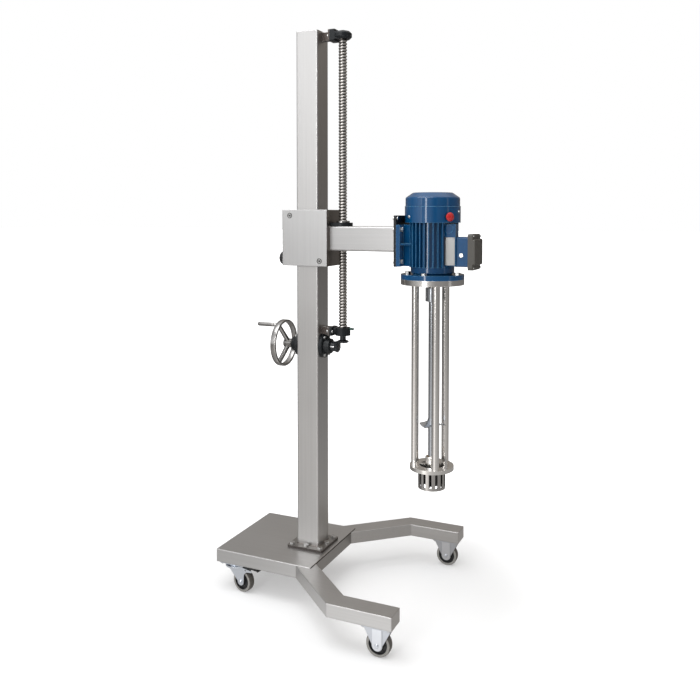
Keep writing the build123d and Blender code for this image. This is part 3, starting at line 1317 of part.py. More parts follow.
# Ring: carries the rods, the stator and, on three spokes, the hub of the shaft's bush
bush_radius = drive_shaft_diameter / 2 + running_clearance + bush_wall
with BuildPart() as head_ring:
    with BuildSketch(Plane.XY.offset(ring_bottom_z)):
        with Locations((head_x, 0)):
            Circle(ring_diameter / 2)
            Circle(ring_window_outer / 2, mode=Mode.SUBTRACT)
            Circle(ring_hub_diameter / 2)
            for angle in rod_angles:
                with PolarLocations(ring_window_outer / 4 + 3, 1, start_angle=angle):
                    Rectangle(ring_window_outer / 2, spoke_width)
    extrude(amount=ring_thickness)
    with BuildSketch(Plane.XY.offset(ring_top_z)):
        with Locations((head_x, 0)):
            Circle(ring_hub_diameter / 2)
    extrude(amount=ring_hub_height)
    chamfer(head_ring.edges().group_by(Axis.Z)[-1], 1.5)
    with BuildSketch(Plane.XY.offset(ring_bottom_z)):
        with Locations((head_x, 0)):
            Circle(bush_radius)
    extrude(amount=ring_thickness + ring_hub_height, mode=Mode.SUBTRACT)
save(head_ring, "head_ring")

with BuildPart() as bush:
    with BuildSketch(Plane.XY.offset(ring_bottom_z)):
        with Locations((head_x, 0)):
            Circle(bush_radius)
            Circle(bush_radius - bush_wall, mode=Mode.SUBTRACT)
    extrude(amount=ring_thickness + ring_hub_height)
save(bush, "bush")

# Stator: an open cup of tall round-ended slots under the ring
stator_radius = stator_diameter / 2
slot_middle_z = stator_bottom_z + slot_bottom_gap + slot_height / 2
with BuildPart() as stator:
    with BuildSketch(Plane.XY.offset(stator_bottom_z)):
        with Locations((head_x, 0)):
            Circle(stator_radius)
            Circle(stator_radius - stator_wall, mode=Mode.SUBTRACT)
    extrude(amount=ring_bottom_z - stator_bottom_z)
    for i in range(stator_slots):
        out = outward(i * 360 / stator_slots)
        slot_plane = Plane(origin=(head_x, 0, slot_middle_z), x_dir=(-out[1], out[0], 0), z_dir=out)
        with BuildSketch(slot_plane):
            SlotOverall(slot_height, slot_width, rotation=90)
        extrude(amount=stator_diameter, mode=Mode.SUBTRACT)
save(stator, "stator")

# Shaft coupling, split on one side and closed by two clamp screws
with BuildPart() as coupling:
    with BuildSketch(Plane.XY.offset(coupling_top_z - coupling_length)):
        with Locations((head_x, 0)):
            Circle(coupling_diameter / 2)
    extrude(amount=coupling_length)
    chamfer(coupling.edges(), 1)
    joint_z = flange_face_z - shaft_length
    with BuildSketch(Plane.XY.offset(joint_z)):
        with Locations((head_x, 0)):
            Circle(motor_shaft_diameter / 2)
    extrude(amount=coupling_length, mode=Mode.SUBTRACT)
    with BuildSketch(Plane.XY.offset(joint_z)):
        with Locations((head_x, 0)):
            Circle(drive_shaft_diameter / 2)
    extrude(amount=-coupling_length, mode=Mode.SUBTRACT)
    with BuildSketch(Plane.XY.offset(coupling_top_z - coupling_length)):
        with Locations((head_x + coupling_diameter / 2, 0)):
            Rectangle(coupling_diameter, 1.5)
    extrude(amount=coupling_length, mode=Mode.SUBTRACT)
save(coupling, "coupling")

# Drive shaft from the coupling through the bush to the rotor
rotor_bottom_z = stator_bottom_z + 6
with BuildPart() as drive_shaft:
    with BuildSketch(Plane.XY.offset(rotor_bottom_z)):
        with Locations((head_x, 0)):
            Circle(drive_shaft_diameter / 2)
    extrude(amount=joint_z - rotor_bottom_z)
save(drive_shaft, "drive_shaft")

# Propeller: three pitched blades on a hub, trimmed to a circle
with BuildPart() as propeller:
    for angle in (0, 120, 240):
        out = outward(angle)
        with BuildSketch(Plane(origin=(head_x + out[0] * 8, out[1] * 8, propeller_z),
                               x_dir=(-out[1], out[0], 0), z_dir=out)):
            RectangleRounded(blade_chord, 3, 1.4, rotation=-blade_pitch)
        extrude(amount=propeller_diameter / 2)
    with BuildSketch(Plane.XY.offset(propeller_z - blade_chord)):
        with Locations((head_x, 0)):
            Circle(propeller_diameter / 2)
    extrude(amount=2 * blade_chord, mode=Mode.INTERSECT)
    with BuildSketch(Plane.XY.offset(propeller_z - propeller_hub_length / 2)):
        with Locations((head_x, 0)):
            Circle(propeller_hub_diameter / 2)
    extrude(amount=propeller_hub_length)
    with BuildSketch(Plane.XY.offset(propeller_z - blade_chord)):
        with Locations((head_x, 0)):
            Circle(drive_shaft_diameter / 2)
    extrude(amount=2 * blade_chord, mode=Mode.SUBTRACT)
save(propeller, "propeller")

# Rotor of the mixing head: blades that sweep the stator's inside
rotor_radius = stator_radius - stator_wall - moving_clearance
rotor_top_z = ring_bottom_z - 5
with BuildPart() as rotor_head:
    with BuildSketch(Plane.XY.offset(rotor_bottom_z)):
        with Locations((head_x, 0)):
            Circle(drive_shaft_diameter / 2 + 4)
            with PolarLocations(0, rotor_blade_count):
                with Locations((rotor_radius / 2, 0)):
                    Rectangle(rotor_radius, rotor_blade_thickness)
    extrude(amount=rotor_top_z - rotor_bottom_z)
    with BuildSketch(Plane.XY.offset(rotor_bottom_z)):
        with Locations((head_x, 0)):
            Circle(rotor_radius)
    extrude(amount=rotor_top_z - rotor_bottom_z, mode=Mode.INTERSECT)
    with BuildSketch(Plane.XY.offset(rotor_bottom_z)):
        with Locations((head_x, 0)):
            Circle(drive_shaft_diameter / 2)
    extrude(amount=rotor_top_z - rotor_bottom_z, mode=Mode.SUBTRACT)
save(rotor_head, "rotor_head")
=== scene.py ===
import json
import math

import bmesh
import bpy
from mathutils import Matrix, Vector


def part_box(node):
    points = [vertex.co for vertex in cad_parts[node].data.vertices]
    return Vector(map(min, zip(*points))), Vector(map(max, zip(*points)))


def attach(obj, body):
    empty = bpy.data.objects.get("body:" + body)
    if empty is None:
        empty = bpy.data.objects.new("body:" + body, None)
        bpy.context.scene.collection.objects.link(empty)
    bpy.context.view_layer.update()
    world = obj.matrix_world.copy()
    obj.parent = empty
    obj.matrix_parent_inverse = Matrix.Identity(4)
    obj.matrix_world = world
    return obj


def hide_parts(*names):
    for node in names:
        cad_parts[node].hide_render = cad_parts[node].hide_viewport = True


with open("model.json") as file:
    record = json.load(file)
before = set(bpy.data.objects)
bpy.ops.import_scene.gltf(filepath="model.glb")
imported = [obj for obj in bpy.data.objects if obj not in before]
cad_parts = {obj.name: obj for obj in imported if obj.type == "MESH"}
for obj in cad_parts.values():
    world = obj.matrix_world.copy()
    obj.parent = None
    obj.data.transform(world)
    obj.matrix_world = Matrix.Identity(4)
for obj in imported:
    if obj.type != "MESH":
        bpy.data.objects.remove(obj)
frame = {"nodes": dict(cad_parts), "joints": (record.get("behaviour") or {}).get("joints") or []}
solids = frame["nodes"]
joint_of = {joint["child"]: joint for joint in frame["joints"]}
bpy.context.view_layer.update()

# Viewpoint
# A standing observer in front of the near front caster, who looks across and slightly down at the motor.
# The lens is shifted down, so that the stand is in the picture while the upright tubes stay nearly parallel.
look_down, look_round = 2.17, 24.42
scene = bpy.context.scene
scene.view_settings.view_transform = "Standard"
eye = bpy.data.cameras.new("standing_eye")
eye.sensor_width = 36.0
eye.lens = 40.37
eye.shift_y = -0.14966
eye.clip_end = 200.0
viewpoint = bpy.data.objects.new("standing_eye", eye)
viewpoint.location = (1.06116, -2.36166, 1.25825)
viewpoint.rotation_euler = (math.radians(90 - look_down), 0.0, math.radians(look_round))
scene.collection.objects.link(viewpoint)
scene.camera = viewpoint

# Studio floor
# A white sheet that runs far past the machine. To the eye it is paper white with soft shadows under the base.
# To the metal it is a lit floor: pale in front of the machine, dull behind it and dimmer with the distance.
floor_half = 60.0
floor_front = (-0.407, -0.914, 0.0)
floor_tint = (1.0, 0.98, 0.96)
floor_behind = (0.38, 0.365, 0.35)
floor_levels = ((-180, 0.16), (180, 0.16), (-162, 0.22), (-144, 0.50), (-126, 0.50), (-114, 0.56),
                (-106, 1.30), (-96, 1.30), (-87, 0.72), (-70, 0.58), (-50, 0.44), (-30, 0.44),
                (-12, 0.36), (8, 0.16), (36, 0.12), (64, 0.20), (92, 0.10), (150, 0.22))


def add_node(tree, kind, sockets=(), **settings):
    """Add a shader node. Each socket is linked to the output it is given, or has the value written on it."""
    node = tree.nodes.new(kind)
    for setting, value in settings.items():
        setattr(node, setting, value)
    for socket, source in dict(sockets).items():
        if isinstance(source, bpy.types.NodeSocket):
            tree.links.new(source, node.inputs[socket])
        else:
            node.inputs[socket].default_value = source
    return node


def ease(tree, source, low, high, value_low=0.0, value_high=1.0, kind="LINEAR"):
    """Carry a value from one range over to another, held at both ends."""
    ranges = {"Value": source, "From Min": low, "From Max": high, "To Min": value_low, "To Max": value_high}
    return add_node(tree, "ShaderNodeMapRange", ranges, interpolation_type=kind).outputs["Result"]


def mix_colours(tree, share, first, second):
    """Mix two colours. A Mix node takes them on its sockets 6 and 7 and gives the colour on its output 2."""
    first, second = [c if isinstance(c, bpy.types.NodeSocket) else (*c, 1.0) for c in (first, second)]
    return add_node(tree, "ShaderNodeMix", {0: share, 6: first, 7: second}, data_type="RGBA").outputs[2]


def levels_around(tree, axes, levels, tint=(1.0, 1.0, 1.0)):
    """A light level that changes once round the machine, from (azimuth in degrees, level) pairs."""
    azimuth = add_node(tree, "ShaderNodeMath", {0: axes["Y"], 1: axes["X"]}, operation="ARCTAN2").outputs[0]
    ramp = add_node(tree, "ShaderNodeValToRGB", {"Fac": ease(tree, azimuth, -math.pi, math.pi)})
    stops = ramp.color_ramp.elements
    for degrees, level in levels:
        stop = stops[-1] if degrees == 180 else stops[0] if degrees == -180 else stops.new(0.5)
        stop.color = (level * tint[0], level * tint[1], level * tint[2], 1.0)
        stop.position = (degrees + 180) / 360
    return ramp.outputs["Color"]


floor_bm = bmesh.new()
bmesh.ops.create_grid(floor_bm, x_segments=1, y_segments=1, size=floor_half)
floor_mesh = bpy.data.meshes.new("studio_floor")
floor_bm.to_mesh(floor_mesh)
floor_bm.free()
studio_floor = bpy.data.objects.new("studio_floor", floor_mesh)
scene.collection.objects.link(studio_floor)
floor_paper = bpy.data.materials.new("floor_paper")
floor_paper.use_nodes = True
paper = floor_paper.node_tree
paper.nodes.clear()
spot = add_node(paper, "ShaderNodeTexCoord").outputs["Object"]
spot_axes = add_node(paper, "ShaderNodeSeparateXYZ", {"Vector": spot}).outputs
spot_reach = add_node(paper, "ShaderNodeVectorMath", {0: spot}, operation="LENGTH").outputs["Value"]
spot_front = add_node(paper, "ShaderNodeVectorMath", {0: spot, 1: floor_front},
                      operation="DOT_PRODUCT").outputs["Value"]
under_level = mix_colours(paper, ease(paper, spot_front, 0.38, 0.08),
                          ease(paper, spot_axes["X"], -0.40, 0.35, 0.54, 1.06), floor_behind)
mirrored = mix_colours(paper, ease(paper, spot_reach, 0.55, 1.10), under_level,
                       levels_around(paper, spot_axes, floor_levels, floor_tint))
paper_mirror = add_node(paper, "ShaderNodeEmission", {
    "Color": mirrored, "Strength": ease(paper, spot_reach, 1.2, 7.0, 1.16, 0.58)})
paper_matt = add_node(paper, "ShaderNodeBsdfDiffuse", {"Color": (0.84, 0.84, 0.84, 1.0)})
paper_half = add_node(paper, "ShaderNodeBsdfDiffuse", {"Color": (0.64, 0.64, 0.64, 1.0)})
paper_glow = add_node(paper, "ShaderNodeEmission", {
    "Strength": ease(paper, spot_reach, 0.45, 1.15, 0.36, 1.05, "SMOOTHSTEP")})
paper_white = add_node(paper, "ShaderNodeAddShader", {0: paper_glow.outputs[0], 1: paper_half.outputs[0]})
paper_rays = add_node(paper, "ShaderNodeLightPath").outputs
paper_shine = add_node(paper, "ShaderNodeMixShader", {
    0: paper_rays["Is Glossy Ray"], 1: paper_matt.outputs[0], 2: paper_mirror.outputs[0]})
paper_seen = add_node(paper, "ShaderNodeMixShader", {
    0: paper_rays["Is Camera Ray"], 1: paper_shine.outputs[0], 2: paper_white.outputs[0]})
add_node(paper, "ShaderNodeOutputMaterial", {"Surface": paper_seen.outputs[0]})
floor_mesh.materials.append(floor_paper)

# Studio air
# White behind the machine to the eye. To the metal it is a room with a lit screen in front at the left, a
# light ceiling and dim walls, which is what gives brushed steel its light front and its dark side.
screen_front = (-0.42, -0.907, 0.0)
front_tint, back_tint = (0.99, 1.0, 1.015), (1.04, 0.95, 0.86)
wall_levels = ((-180, 0.30), (180, 0.30), (-165, 0.22), (-150, 0.30), (-139, 0.40), (-132, 0.80),
               (-124, 0.80), (-116, 0.22), (-95, 0.22), (-80, 0.30), (-70, 0.12), (-60, 0.12),
               (-50, 0.34), (-38, 0.26), (-20, 0.18), (8, 0.16), (35, 0.26), (66, 0.62), (90, 0.24),
               (114, 0.10), (150, 0.14))
studio_room = bpy.data.worlds.new("studio_room")
scene.world = studio_room
studio_room.use_nodes = True
room = studio_room.node_tree
room.nodes.clear()
gaze = add_node(room, "ShaderNodeTexCoord").outputs["Generated"]
gaze_axes = add_node(room, "ShaderNodeSeparateXYZ", {"Vector": gaze}).outputs
gaze_front = add_node(room, "ShaderNodeVectorMath", {0: gaze, 1: screen_front},
                      operation="DOT_PRODUCT").outputs["Value"]


def room_step(source, low, high, value_low, value_high):
    """A soft step of room light between two values of a direction."""
    return ease(room, source, low, high, value_low, value_high, "SMOOTHSTEP")


def room_math(operation, first, second):
    """Join two room light values."""
    return add_node(room, "ShaderNodeMath", {0: first, 1: second}, operation=operation).outputs[0]


slope = add_node(room, "ShaderNodeMath", {0: gaze_axes["Z"]}, operation="ABSOLUTE").outputs[0]
low_wall = room_math("MULTIPLY", levels_around(room, gaze_axes, wall_levels),
                     room_step(slope, 0.12, 0.36, 1.0, 0.0))
wall = room_math("ADD", low_wall, room_step(slope, 0.12, 0.36, 0.0, 0.33))
screen = room_math("MULTIPLY", room_step(gaze_front, 0.55, 0.95, 0.0, 1.0),
                   room_step(gaze_axes["Z"], -0.05, 0.25, 0.37, 0.79))
ceiling = room_step(gaze_axes["Z"], 0.55, 0.9, 0.0, 0.7)
room_tint = mix_colours(room, ease(room, gaze_front, -0.1, -0.8), front_tint, back_tint)
room_light = add_node(room, "ShaderNodeBackground", {
    "Color": room_tint, "Strength": room_math("ADD", room_math("ADD", wall, screen), ceiling)})
room_white = add_node(room, "ShaderNodeBackground", {"Color": (1.0, 1.0, 1.0, 1.0)})
room_seen = add_node(room, "ShaderNodeMixShader", {
    0: add_node(room, "ShaderNodeLightPath").outputs["Is Camera Ray"],
    1: room_light.outputs[0], 2: room_white.outputs[0]})
add_node(room, "ShaderNodeOutputWorld", {"Surface": room_seen.outputs[0]})

# Softboxes
# A tall narrow strip in front draws the bright line down the motor and the rods. Thin ones at the left and
# the right draw weak second lines, and a wide one above fills the tops.


def hang_softbox(name, place, target, width, height, watts):
    """A rectangular softbox that faces a point of the machine."""
    lamp = bpy.data.lights.new(name, "AREA")
    lamp.shape = "RECTANGLE"
    lamp.size = width
    lamp.size_y = height
    lamp.energy = watts
    box = bpy.data.objects.new(name, lamp)
    box.location = place
    box.rotation_euler = (Vector(target) - Vector(place)).to_track_quat("-Z", "Y").to_euler()
    scene.collection.objects.link(box)


hang_softbox("strip_front", (-0.28, -3.52, 1.9), (0.1, 0.0, 1.2), 0.42, 2.6, 27.0)
hang_softbox("strip_left", (-1.47, -3.15, 2.1), (0.1, 0.0, 1.4), 0.20, 2.4, 2.6)
hang_softbox("strip_side", (3.6, -0.4, 1.8), (0.1, 0.0, 1.2), 0.4, 2.2, 2.0)
hang_softbox("overhead", (-0.6, -1.2, 4.2), (0.0, 0.0, 0.6), 3.0, 2.4, 70.0)

# Deck, legs and foot plate
# Folded 3 mm stainless sheet, brushed along the machine, with a plate bolted on for the column. The foot
# plate's sides and the deck's faces turned to +X are painted darker as shade, and a thin dark strip along the
# deck's front edge, just under its top, is painted shade of the gap there.
steel_tone = (0.595, 0.585, 0.575)
shade_strip_width, shade_strip_height, shade_strip_edge = 0.0016, 0.0030, 0.0006
shade_strip_inset, shade_strip_drop = 0.002, 0.0022


def steel_skin(name, tone, rough, along=None, hair=0.07, edge=0.0007, cut=None, inner_shade=None):
    """Bare metal. Brushed metal has fine hair lines along one axis, turned metal only a faint clouding.
    cut paints shade on faces by their normal: an axis, its values on a plain and on a shaded face, and the
    shade colour.
    inner_shade paints shade inside a radius about an upright axis, as in a recess: x, y, radius and softness
    of its edge, and the shade colour."""
    material = bpy.data.materials.new(name)
    material.use_nodes = True
    tree = material.node_tree
    skin = tree.nodes["Principled BSDF"]
    skin.inputs["Metallic"].default_value = 1.0
    place = add_node(tree, "ShaderNodeTexCoord").outputs["Object"]
    hair_along, hair_across, clouding = 2.5, 190.0, 60.0
    scale = [hair_along if axis == along else hair_across if along else clouding for axis in "XYZ"]
    drawn = add_node(tree, "ShaderNodeMapping", {"Vector": place, "Scale": scale}).outputs["Vector"]
    lines = add_node(tree, "ShaderNodeTexNoise", {
        "Vector": drawn, "Scale": 1.0, "Detail": 5.0}).outputs["Fac"]
    cloud = add_node(tree, "ShaderNodeTexNoise", {
        "Vector": place, "Scale": 6.0, "Detail": 4.0}).outputs["Fac"]
    colour = mix_colours(tree, lines, [c * (1.0 - hair) for c in tone], [c * (1.0 + hair) for c in tone])
    # Painted shade: faces turned the given way take a darker colour.
    if cut:
        axis, plain, dark, shade_tone = cut
        face = add_node(tree, "ShaderNodeNewGeometry").outputs["Normal"]
        turned_to = add_node(tree, "ShaderNodeSeparateXYZ", {"Vector": face}).outputs[axis]
        colour = mix_colours(tree, ease(tree, turned_to, plain, dark), colour, shade_tone)
    # Painted shade: the colour darkens inside the given radius about an upright axis.
    if inner_shade:
        x, y, radius, soft, shade_tone = inner_shade
        off_axis = add_node(tree, "ShaderNodeMapping", {
            "Vector": place, "Location": (-x, -y, 0.0), "Scale": (1.0, 1.0, 0.0)}).outputs["Vector"]
        reach = add_node(tree, "ShaderNodeVectorMath", {0: off_axis}, operation="LENGTH").outputs["Value"]
        colour = mix_colours(tree, ease(tree, reach, radius + soft, radius - soft), colour, shade_tone)
    normal = add_node(tree, "ShaderNodeBevel", {"Radius": edge}, samples=4).outputs["Normal"]
    if along:
        normal = add_node(tree, "ShaderNodeBump", {
            "Strength": 0.08, "Distance": 0.0001, "Height": lines, "Normal": normal}).outputs["Normal"]
    tree.links.new(colour, skin.inputs["Base Color"])
    tree.links.new(ease(tree, cloud, 0.0, 1.0, rough - 0.05, rough + 0.06), skin.inputs["Roughness"])
    tree.links.new(normal, skin.inputs["Normal"])
    return material


def dress(material, *names):
    """Give solids of the model one finish."""
    for name in names:
        mesh = solids[name].data
        mesh.materials.clear()
        mesh.materials.append(material)


def corners(name):
    """Lowest and highest corner of a solid of the model, to a hundredth of a millimetre."""
    return [[round(value, 5) for value in corner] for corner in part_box(name)]


def aim(place, direction):
    """A frame at a place, with its Z axis along a direction."""
    return Matrix.Translation(place) @ Vector(direction).to_track_quat("Z", "Y").to_matrix().to_4x4()


def bar(size, edge, segments=2):
    """A small block about the origin, with its edges rounded or cut."""
    block = bmesh.new()
    bmesh.ops.create_cube(block, size=1.0)
    bmesh.ops.scale(block, verts=block.verts, vec=size)
    bmesh.ops.bevel(block, geom=block.edges[:], offset=edge, segments=segments, profile=0.5, affect="EDGES",
                    material=-1)
    return block


def join(bm, shape, place=Matrix()):
    """Close a shape, turn its faces outwards and put it into a piece."""
    bmesh.ops.remove_doubles(shape, verts=shape.verts, dist=1e-6)
    bmesh.ops.recalc_face_normals(shape, faces=shape.faces)
    bmesh.ops.transform(shape, matrix=place, verts=shape.verts)
    carrier = bpy.data.meshes.new("shape")
    shape.to_mesh(carrier)
    shape.free()
    bm.from_mesh(carrier)
    bpy.data.meshes.remove(carrier)


def set_piece(name, bm, material, body, replaced=(), crease=40):
    """Finish a piece: smooth faces with sharp creases, its material, and the body that it rides on."""
    mesh = bpy.data.meshes.new(name)
    bm.to_mesh(mesh)
    bm.free()
    mesh.materials.append(material)
    mesh.shade_smooth()
    mesh.set_sharp_from_angle(angle=math.radians(crease))
    piece = bpy.data.objects.new(name, mesh)
    scene.collection.objects.link(piece)
    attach(piece, body)
    if replaced:
        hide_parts(*replaced)
    return piece


dress(steel_skin("brushed_base", steel_tone, 0.36, "X", edge=0.0045), "leg_near", "leg_far")
# Painted shade: the deck's faces turned to +X are darker.
dress(steel_skin("brushed_deck", steel_tone, 0.36, "X", edge=0.0045, cut=("X", 0.4, 0.9, (0.36, 0.35, 0.34))),
      "deck")
# Painted shade: the foot plate's sides, all faces but its top, are much darker than its top.
dress(steel_skin("foot_plate_side_shade", (0.33, 0.315, 0.30), 0.38, "X", cut=("Z", 0.9, 0.4, (0.10, 0.09, 0.085))),
      "foot_plate")
deck_low, deck_high = corners("deck")
# Painted shade: a thin dark strip stands for the shade in the gap along the deck's front edge.
deck_shade_strip = bar((shade_strip_width, deck_high[1] - deck_low[1] - 2 * shade_strip_inset, shade_strip_height), shade_strip_edge)
bmesh.ops.translate(deck_shade_strip, verts=deck_shade_strip.verts,
                    vec=(deck_high[0] + shade_strip_width / 4, 0.0, deck_high[2] - shade_strip_drop))
set_piece("deck_front_shade_strip", deck_shade_strip, steel_skin("painted_gap_shade", (0.05, 0.045, 0.04), 0.6), "stand")

# Column
# Square stainless tube brushed upwards, welded to the plate at its foot.
weld_steel = steel_skin("weld_bead", (0.22, 0.20, 0.185), 0.42)
foot_bead = 0.0022


def lay_weld(bm, place, width, bead):
    """A rippled fillet of weld round a square tube, in the XY plane of a frame."""
    corner, ripple_length, swelling = 0.005, 0.0022, 1.18
    straight = width / 2 - corner
    ripples = 2 * round(straight / ripple_length)
    run = bmesh.new()
    start = Matrix.Translation((width / 2, -straight, 0.0)) @ Matrix.Rotation(math.pi / 2, 4, "X")
    bmesh.ops.create_circle(run, cap_ends=False, radius=bead, segments=8, matrix=start)
    edges = run.edges[:]
    for side in range(4):
        heading = Matrix.Rotation(side * math.pi / 2, 4, "Z") @ Vector((0.0, 2 * straight / ripples, 0.0))
        for ripple in range(ripples):
            grown = bmesh.ops.extrude_edge_only(run, edges=edges)["geom"]
            points = [g for g in grown if isinstance(g, bmesh.types.BMVert)]
            edges = [g for g in grown if isinstance(g, bmesh.types.BMEdge) and set(g.verts) <= set(points)]
            bmesh.ops.translate(run, verts=points, vec=heading)
            middle = sum((p.co for p in points), Vector()) / len(points)
            swell = swelling if ripple % 2 == 0 else 1.0 / swelling
            bmesh.ops.scale(run, vec=(swell, swell, swell), space=Matrix.Translation(-middle), verts=points)
        turn_middle = Matrix.Rotation(side * math.pi / 2, 4, "Z") @ Vector((straight, straight, 0.0))
        turned = bmesh.ops.spin(run, geom=edges + points, cent=turn_middle, axis=(0, 0, 1), dvec=(0, 0, 0),
                                angle=math.pi / 2, steps=5, use_merge=False)["geom_last"]
        points = [g for g in turned if isinstance(g, bmesh.types.BMVert)]
        edges = [g for g in turned if isinstance(g, bmesh.types.BMEdge)]
    join(bm, run, place)


dress(steel_skin("brushed_upright", steel_tone, 0.34, "Z", edge=0.0030), "column")
column_low, column_high = corners("column")
column_middle = (column_low[0] + column_high[0]) / 2
column_weld = bmesh.new()
lay_weld(column_weld, aim((column_middle, 0.0, column_low[2]), (0, 0, 1)), column_high[0] - column_low[0],
         foot_bead)
set_piece("column_foot_weld", column_weld, weld_steel, "stand")

# Casters
# Pressed forks and plates in bright zinc, two fixed in front and two that swivel behind, with black foot
# brakes. A raised rib runs down both cheeks of each fixed fork.
rib_radius, rib_height, rib_rise = 0.0165, 0.0535, 0.0032
rib_top_scale, rib_top_middle = (0.86, 0.94, 1.0), 0.030
cheek_offset = 0.0169


def paint_skin(name, colour, rough, coat=0.0, edge=0.0008, edge_wear_and_highlight=None, grain=700.0, depth=0.05, metal=0.0,
               gloss=0.5):
    """Painted, moulded or cast: a slight mottle, a fine grain, and rounded edges that catch light. Their
    colour edge_wear_and_highlight is wear on some parts and a painted highlight on others.
    """
    material = bpy.data.materials.new(name)
    material.use_nodes = True
    tree = material.node_tree
    skin = tree.nodes["Principled BSDF"]
    skin.inputs["Metallic"].default_value = metal
    skin.inputs["Specular IOR Level"].default_value = gloss
    skin.inputs["Coat Weight"].default_value = coat
    skin.inputs["Coat Roughness"].default_value = 0.06
    place = add_node(tree, "ShaderNodeTexCoord").outputs["Object"]
    mottle = add_node(tree, "ShaderNodeTexNoise", {
        "Vector": place, "Scale": 14.0, "Detail": 5.0}).outputs["Fac"]
    fine = add_node(tree, "ShaderNodeTexNoise", {
        "Vector": place, "Scale": grain, "Detail": 2.0}).outputs["Fac"]
    tone = mix_colours(tree, mottle, [c * 0.88 for c in colour], [min(1.0, c * 1.10) for c in colour])
    rounded = add_node(tree, "ShaderNodeBevel", {"Radius": edge}, samples=4).outputs["Normal"]
    # Edge colour on rounded edges: wear on some parts, a painted highlight on others.
    if edge_wear_and_highlight:
        face = add_node(tree, "ShaderNodeNewGeometry").outputs["Normal"]
        likeness = add_node(tree, "ShaderNodeVectorMath", {0: rounded, 1: face},
                            operation="DOT_PRODUCT").outputs["Value"]
        tone = mix_colours(tree, ease(tree, likeness, 0.99, 0.86), tone, edge_wear_and_highlight)
    relief = add_node(tree, "ShaderNodeBump", {
        "Strength": depth, "Distance": 0.0003, "Height": fine, "Normal": rounded})
    tree.links.new(tone, skin.inputs["Base Color"])
    tree.links.new(ease(tree, mottle, 0.0, 1.0, max(0.02, rough - 0.05), rough + 0.06),
                   skin.inputs["Roughness"])
    tree.links.new(relief.outputs["Normal"], skin.inputs["Normal"])
    return material


# Painted shade: the fixed forks' cheeks are a darker copy of the zinc.
dress(steel_skin("zinc_painted_shade", (0.61, 0.63, 0.67), 0.34, edge=0.0012), "fixed_forks")
dress(steel_skin("zinc_plating", (0.74, 0.77, 0.82), 0.32, edge=0.0012), "front_axles", "swivel_plates",
      "swivel_fork_near", "swivel_fork_far")
black_moulding = paint_skin("black_moulding", (0.012, 0.012, 0.013), 0.40)
dress(black_moulding, "brake_pedal_near", "brake_pedal_far")
fork_ribs = bmesh.new()
for wheel in ("front_wheel_near", "front_wheel_far"):
    for half_turn in (0.0, math.pi):
        rib = bmesh.new()
        rim = bmesh.ops.create_circle(rib, cap_ends=True, radius=rib_radius, segments=40)["verts"]
        bmesh.ops.translate(rib, verts=[v for v in rim if v.co.y > -1e-6], vec=(0.0, rib_height, 0.0))
        raised = bmesh.ops.extrude_face_region(rib, geom=rib.faces[:])["geom"]
        crown = [g for g in raised if isinstance(g, bmesh.types.BMVert)]
        bmesh.ops.translate(rib, verts=crown, vec=(0.0, 0.0, rib_rise))
        bmesh.ops.scale(rib, verts=crown, vec=rib_top_scale,
                        space=Matrix.Translation((0.0, -rib_top_middle, 0.0)))
        cheek = Matrix.Translation(joint_of[wheel]["pos_m"]) @ Matrix.Rotation(half_turn, 4, "Z")
        join(fork_ribs, rib, cheek @ Matrix.Translation((0.0, -cheek_offset, 0.0))
             @ Matrix.Rotation(math.pi / 2, 4, "X"))
# Painted highlight: the ribs are a lighter copy of the zinc.
set_piece("fork_ribs", fork_ribs, steel_skin("zinc_painted_highlight", (0.80, 0.82, 0.86), 0.30), "stand",
          crease=20)

# Wheels
# A grey-brown rubber tread with paler sides, moulded onto a black nylon hub with ribs in its dish. The
# outlines here and below are (radius, height) in millimetres.
tread_rubber = paint_skin("tread_rubber", (0.115, 0.105, 0.095), 0.62, grain=400.0, depth=0.12)
side_rubber = paint_skin("side_rubber", (0.30, 0.29, 0.27), 0.55, grain=400.0, depth=0.08)
hub_nylon = paint_skin("hub_nylon", (0.014, 0.014, 0.015), 0.42)
tread_half = 0.0105
tyre_outline = [(28.0, -9.0), (28.6, -11.6), (34.2, -12.3), (36.0, -11.2), (37.2, -8.4), (37.5, -4.0),
                (37.5, 4.0), (37.2, 8.4), (36.0, 11.2), (34.2, 12.3), (28.6, 11.6), (28.0, 9.0), (28.0, -9.0)]
hub_outline = [(4.1, -12.5), (12.0, -12.5), (12.8, -11.5), (14.5, -7.2), (25.5, -7.2), (26.6, -11.4),
               (28.2, -11.9), (28.2, 11.9), (26.6, 11.4), (25.5, 7.2), (14.5, 7.2), (12.8, 11.5),
               (12.0, 12.5), (4.1, 12.5), (4.1, -12.5)]
hub_ribs, hub_rib_reach, hub_rib_radius, hub_rib_depth = 8, 0.020, 0.0025, 0.014
hub_rib_section = (3.6, 0.6, 1, 1)


def turn(outline, steps=64):
    """Turn an outline about the Z axis. A ring's outline ends where it starts."""
    shape = bmesh.new()
    points = [shape.verts.new((radius / 1000, 0.0, height / 1000)) for radius, height in outline]
    edges = [shape.edges.new(pair) for pair in zip(points, points[1:])]
    bmesh.ops.spin(shape, geom=points + edges, cent=(0, 0, 0), axis=(0, 0, 1), dvec=(0, 0, 0),
                   angle=2 * math.pi, steps=steps, use_merge=True)
    return shape


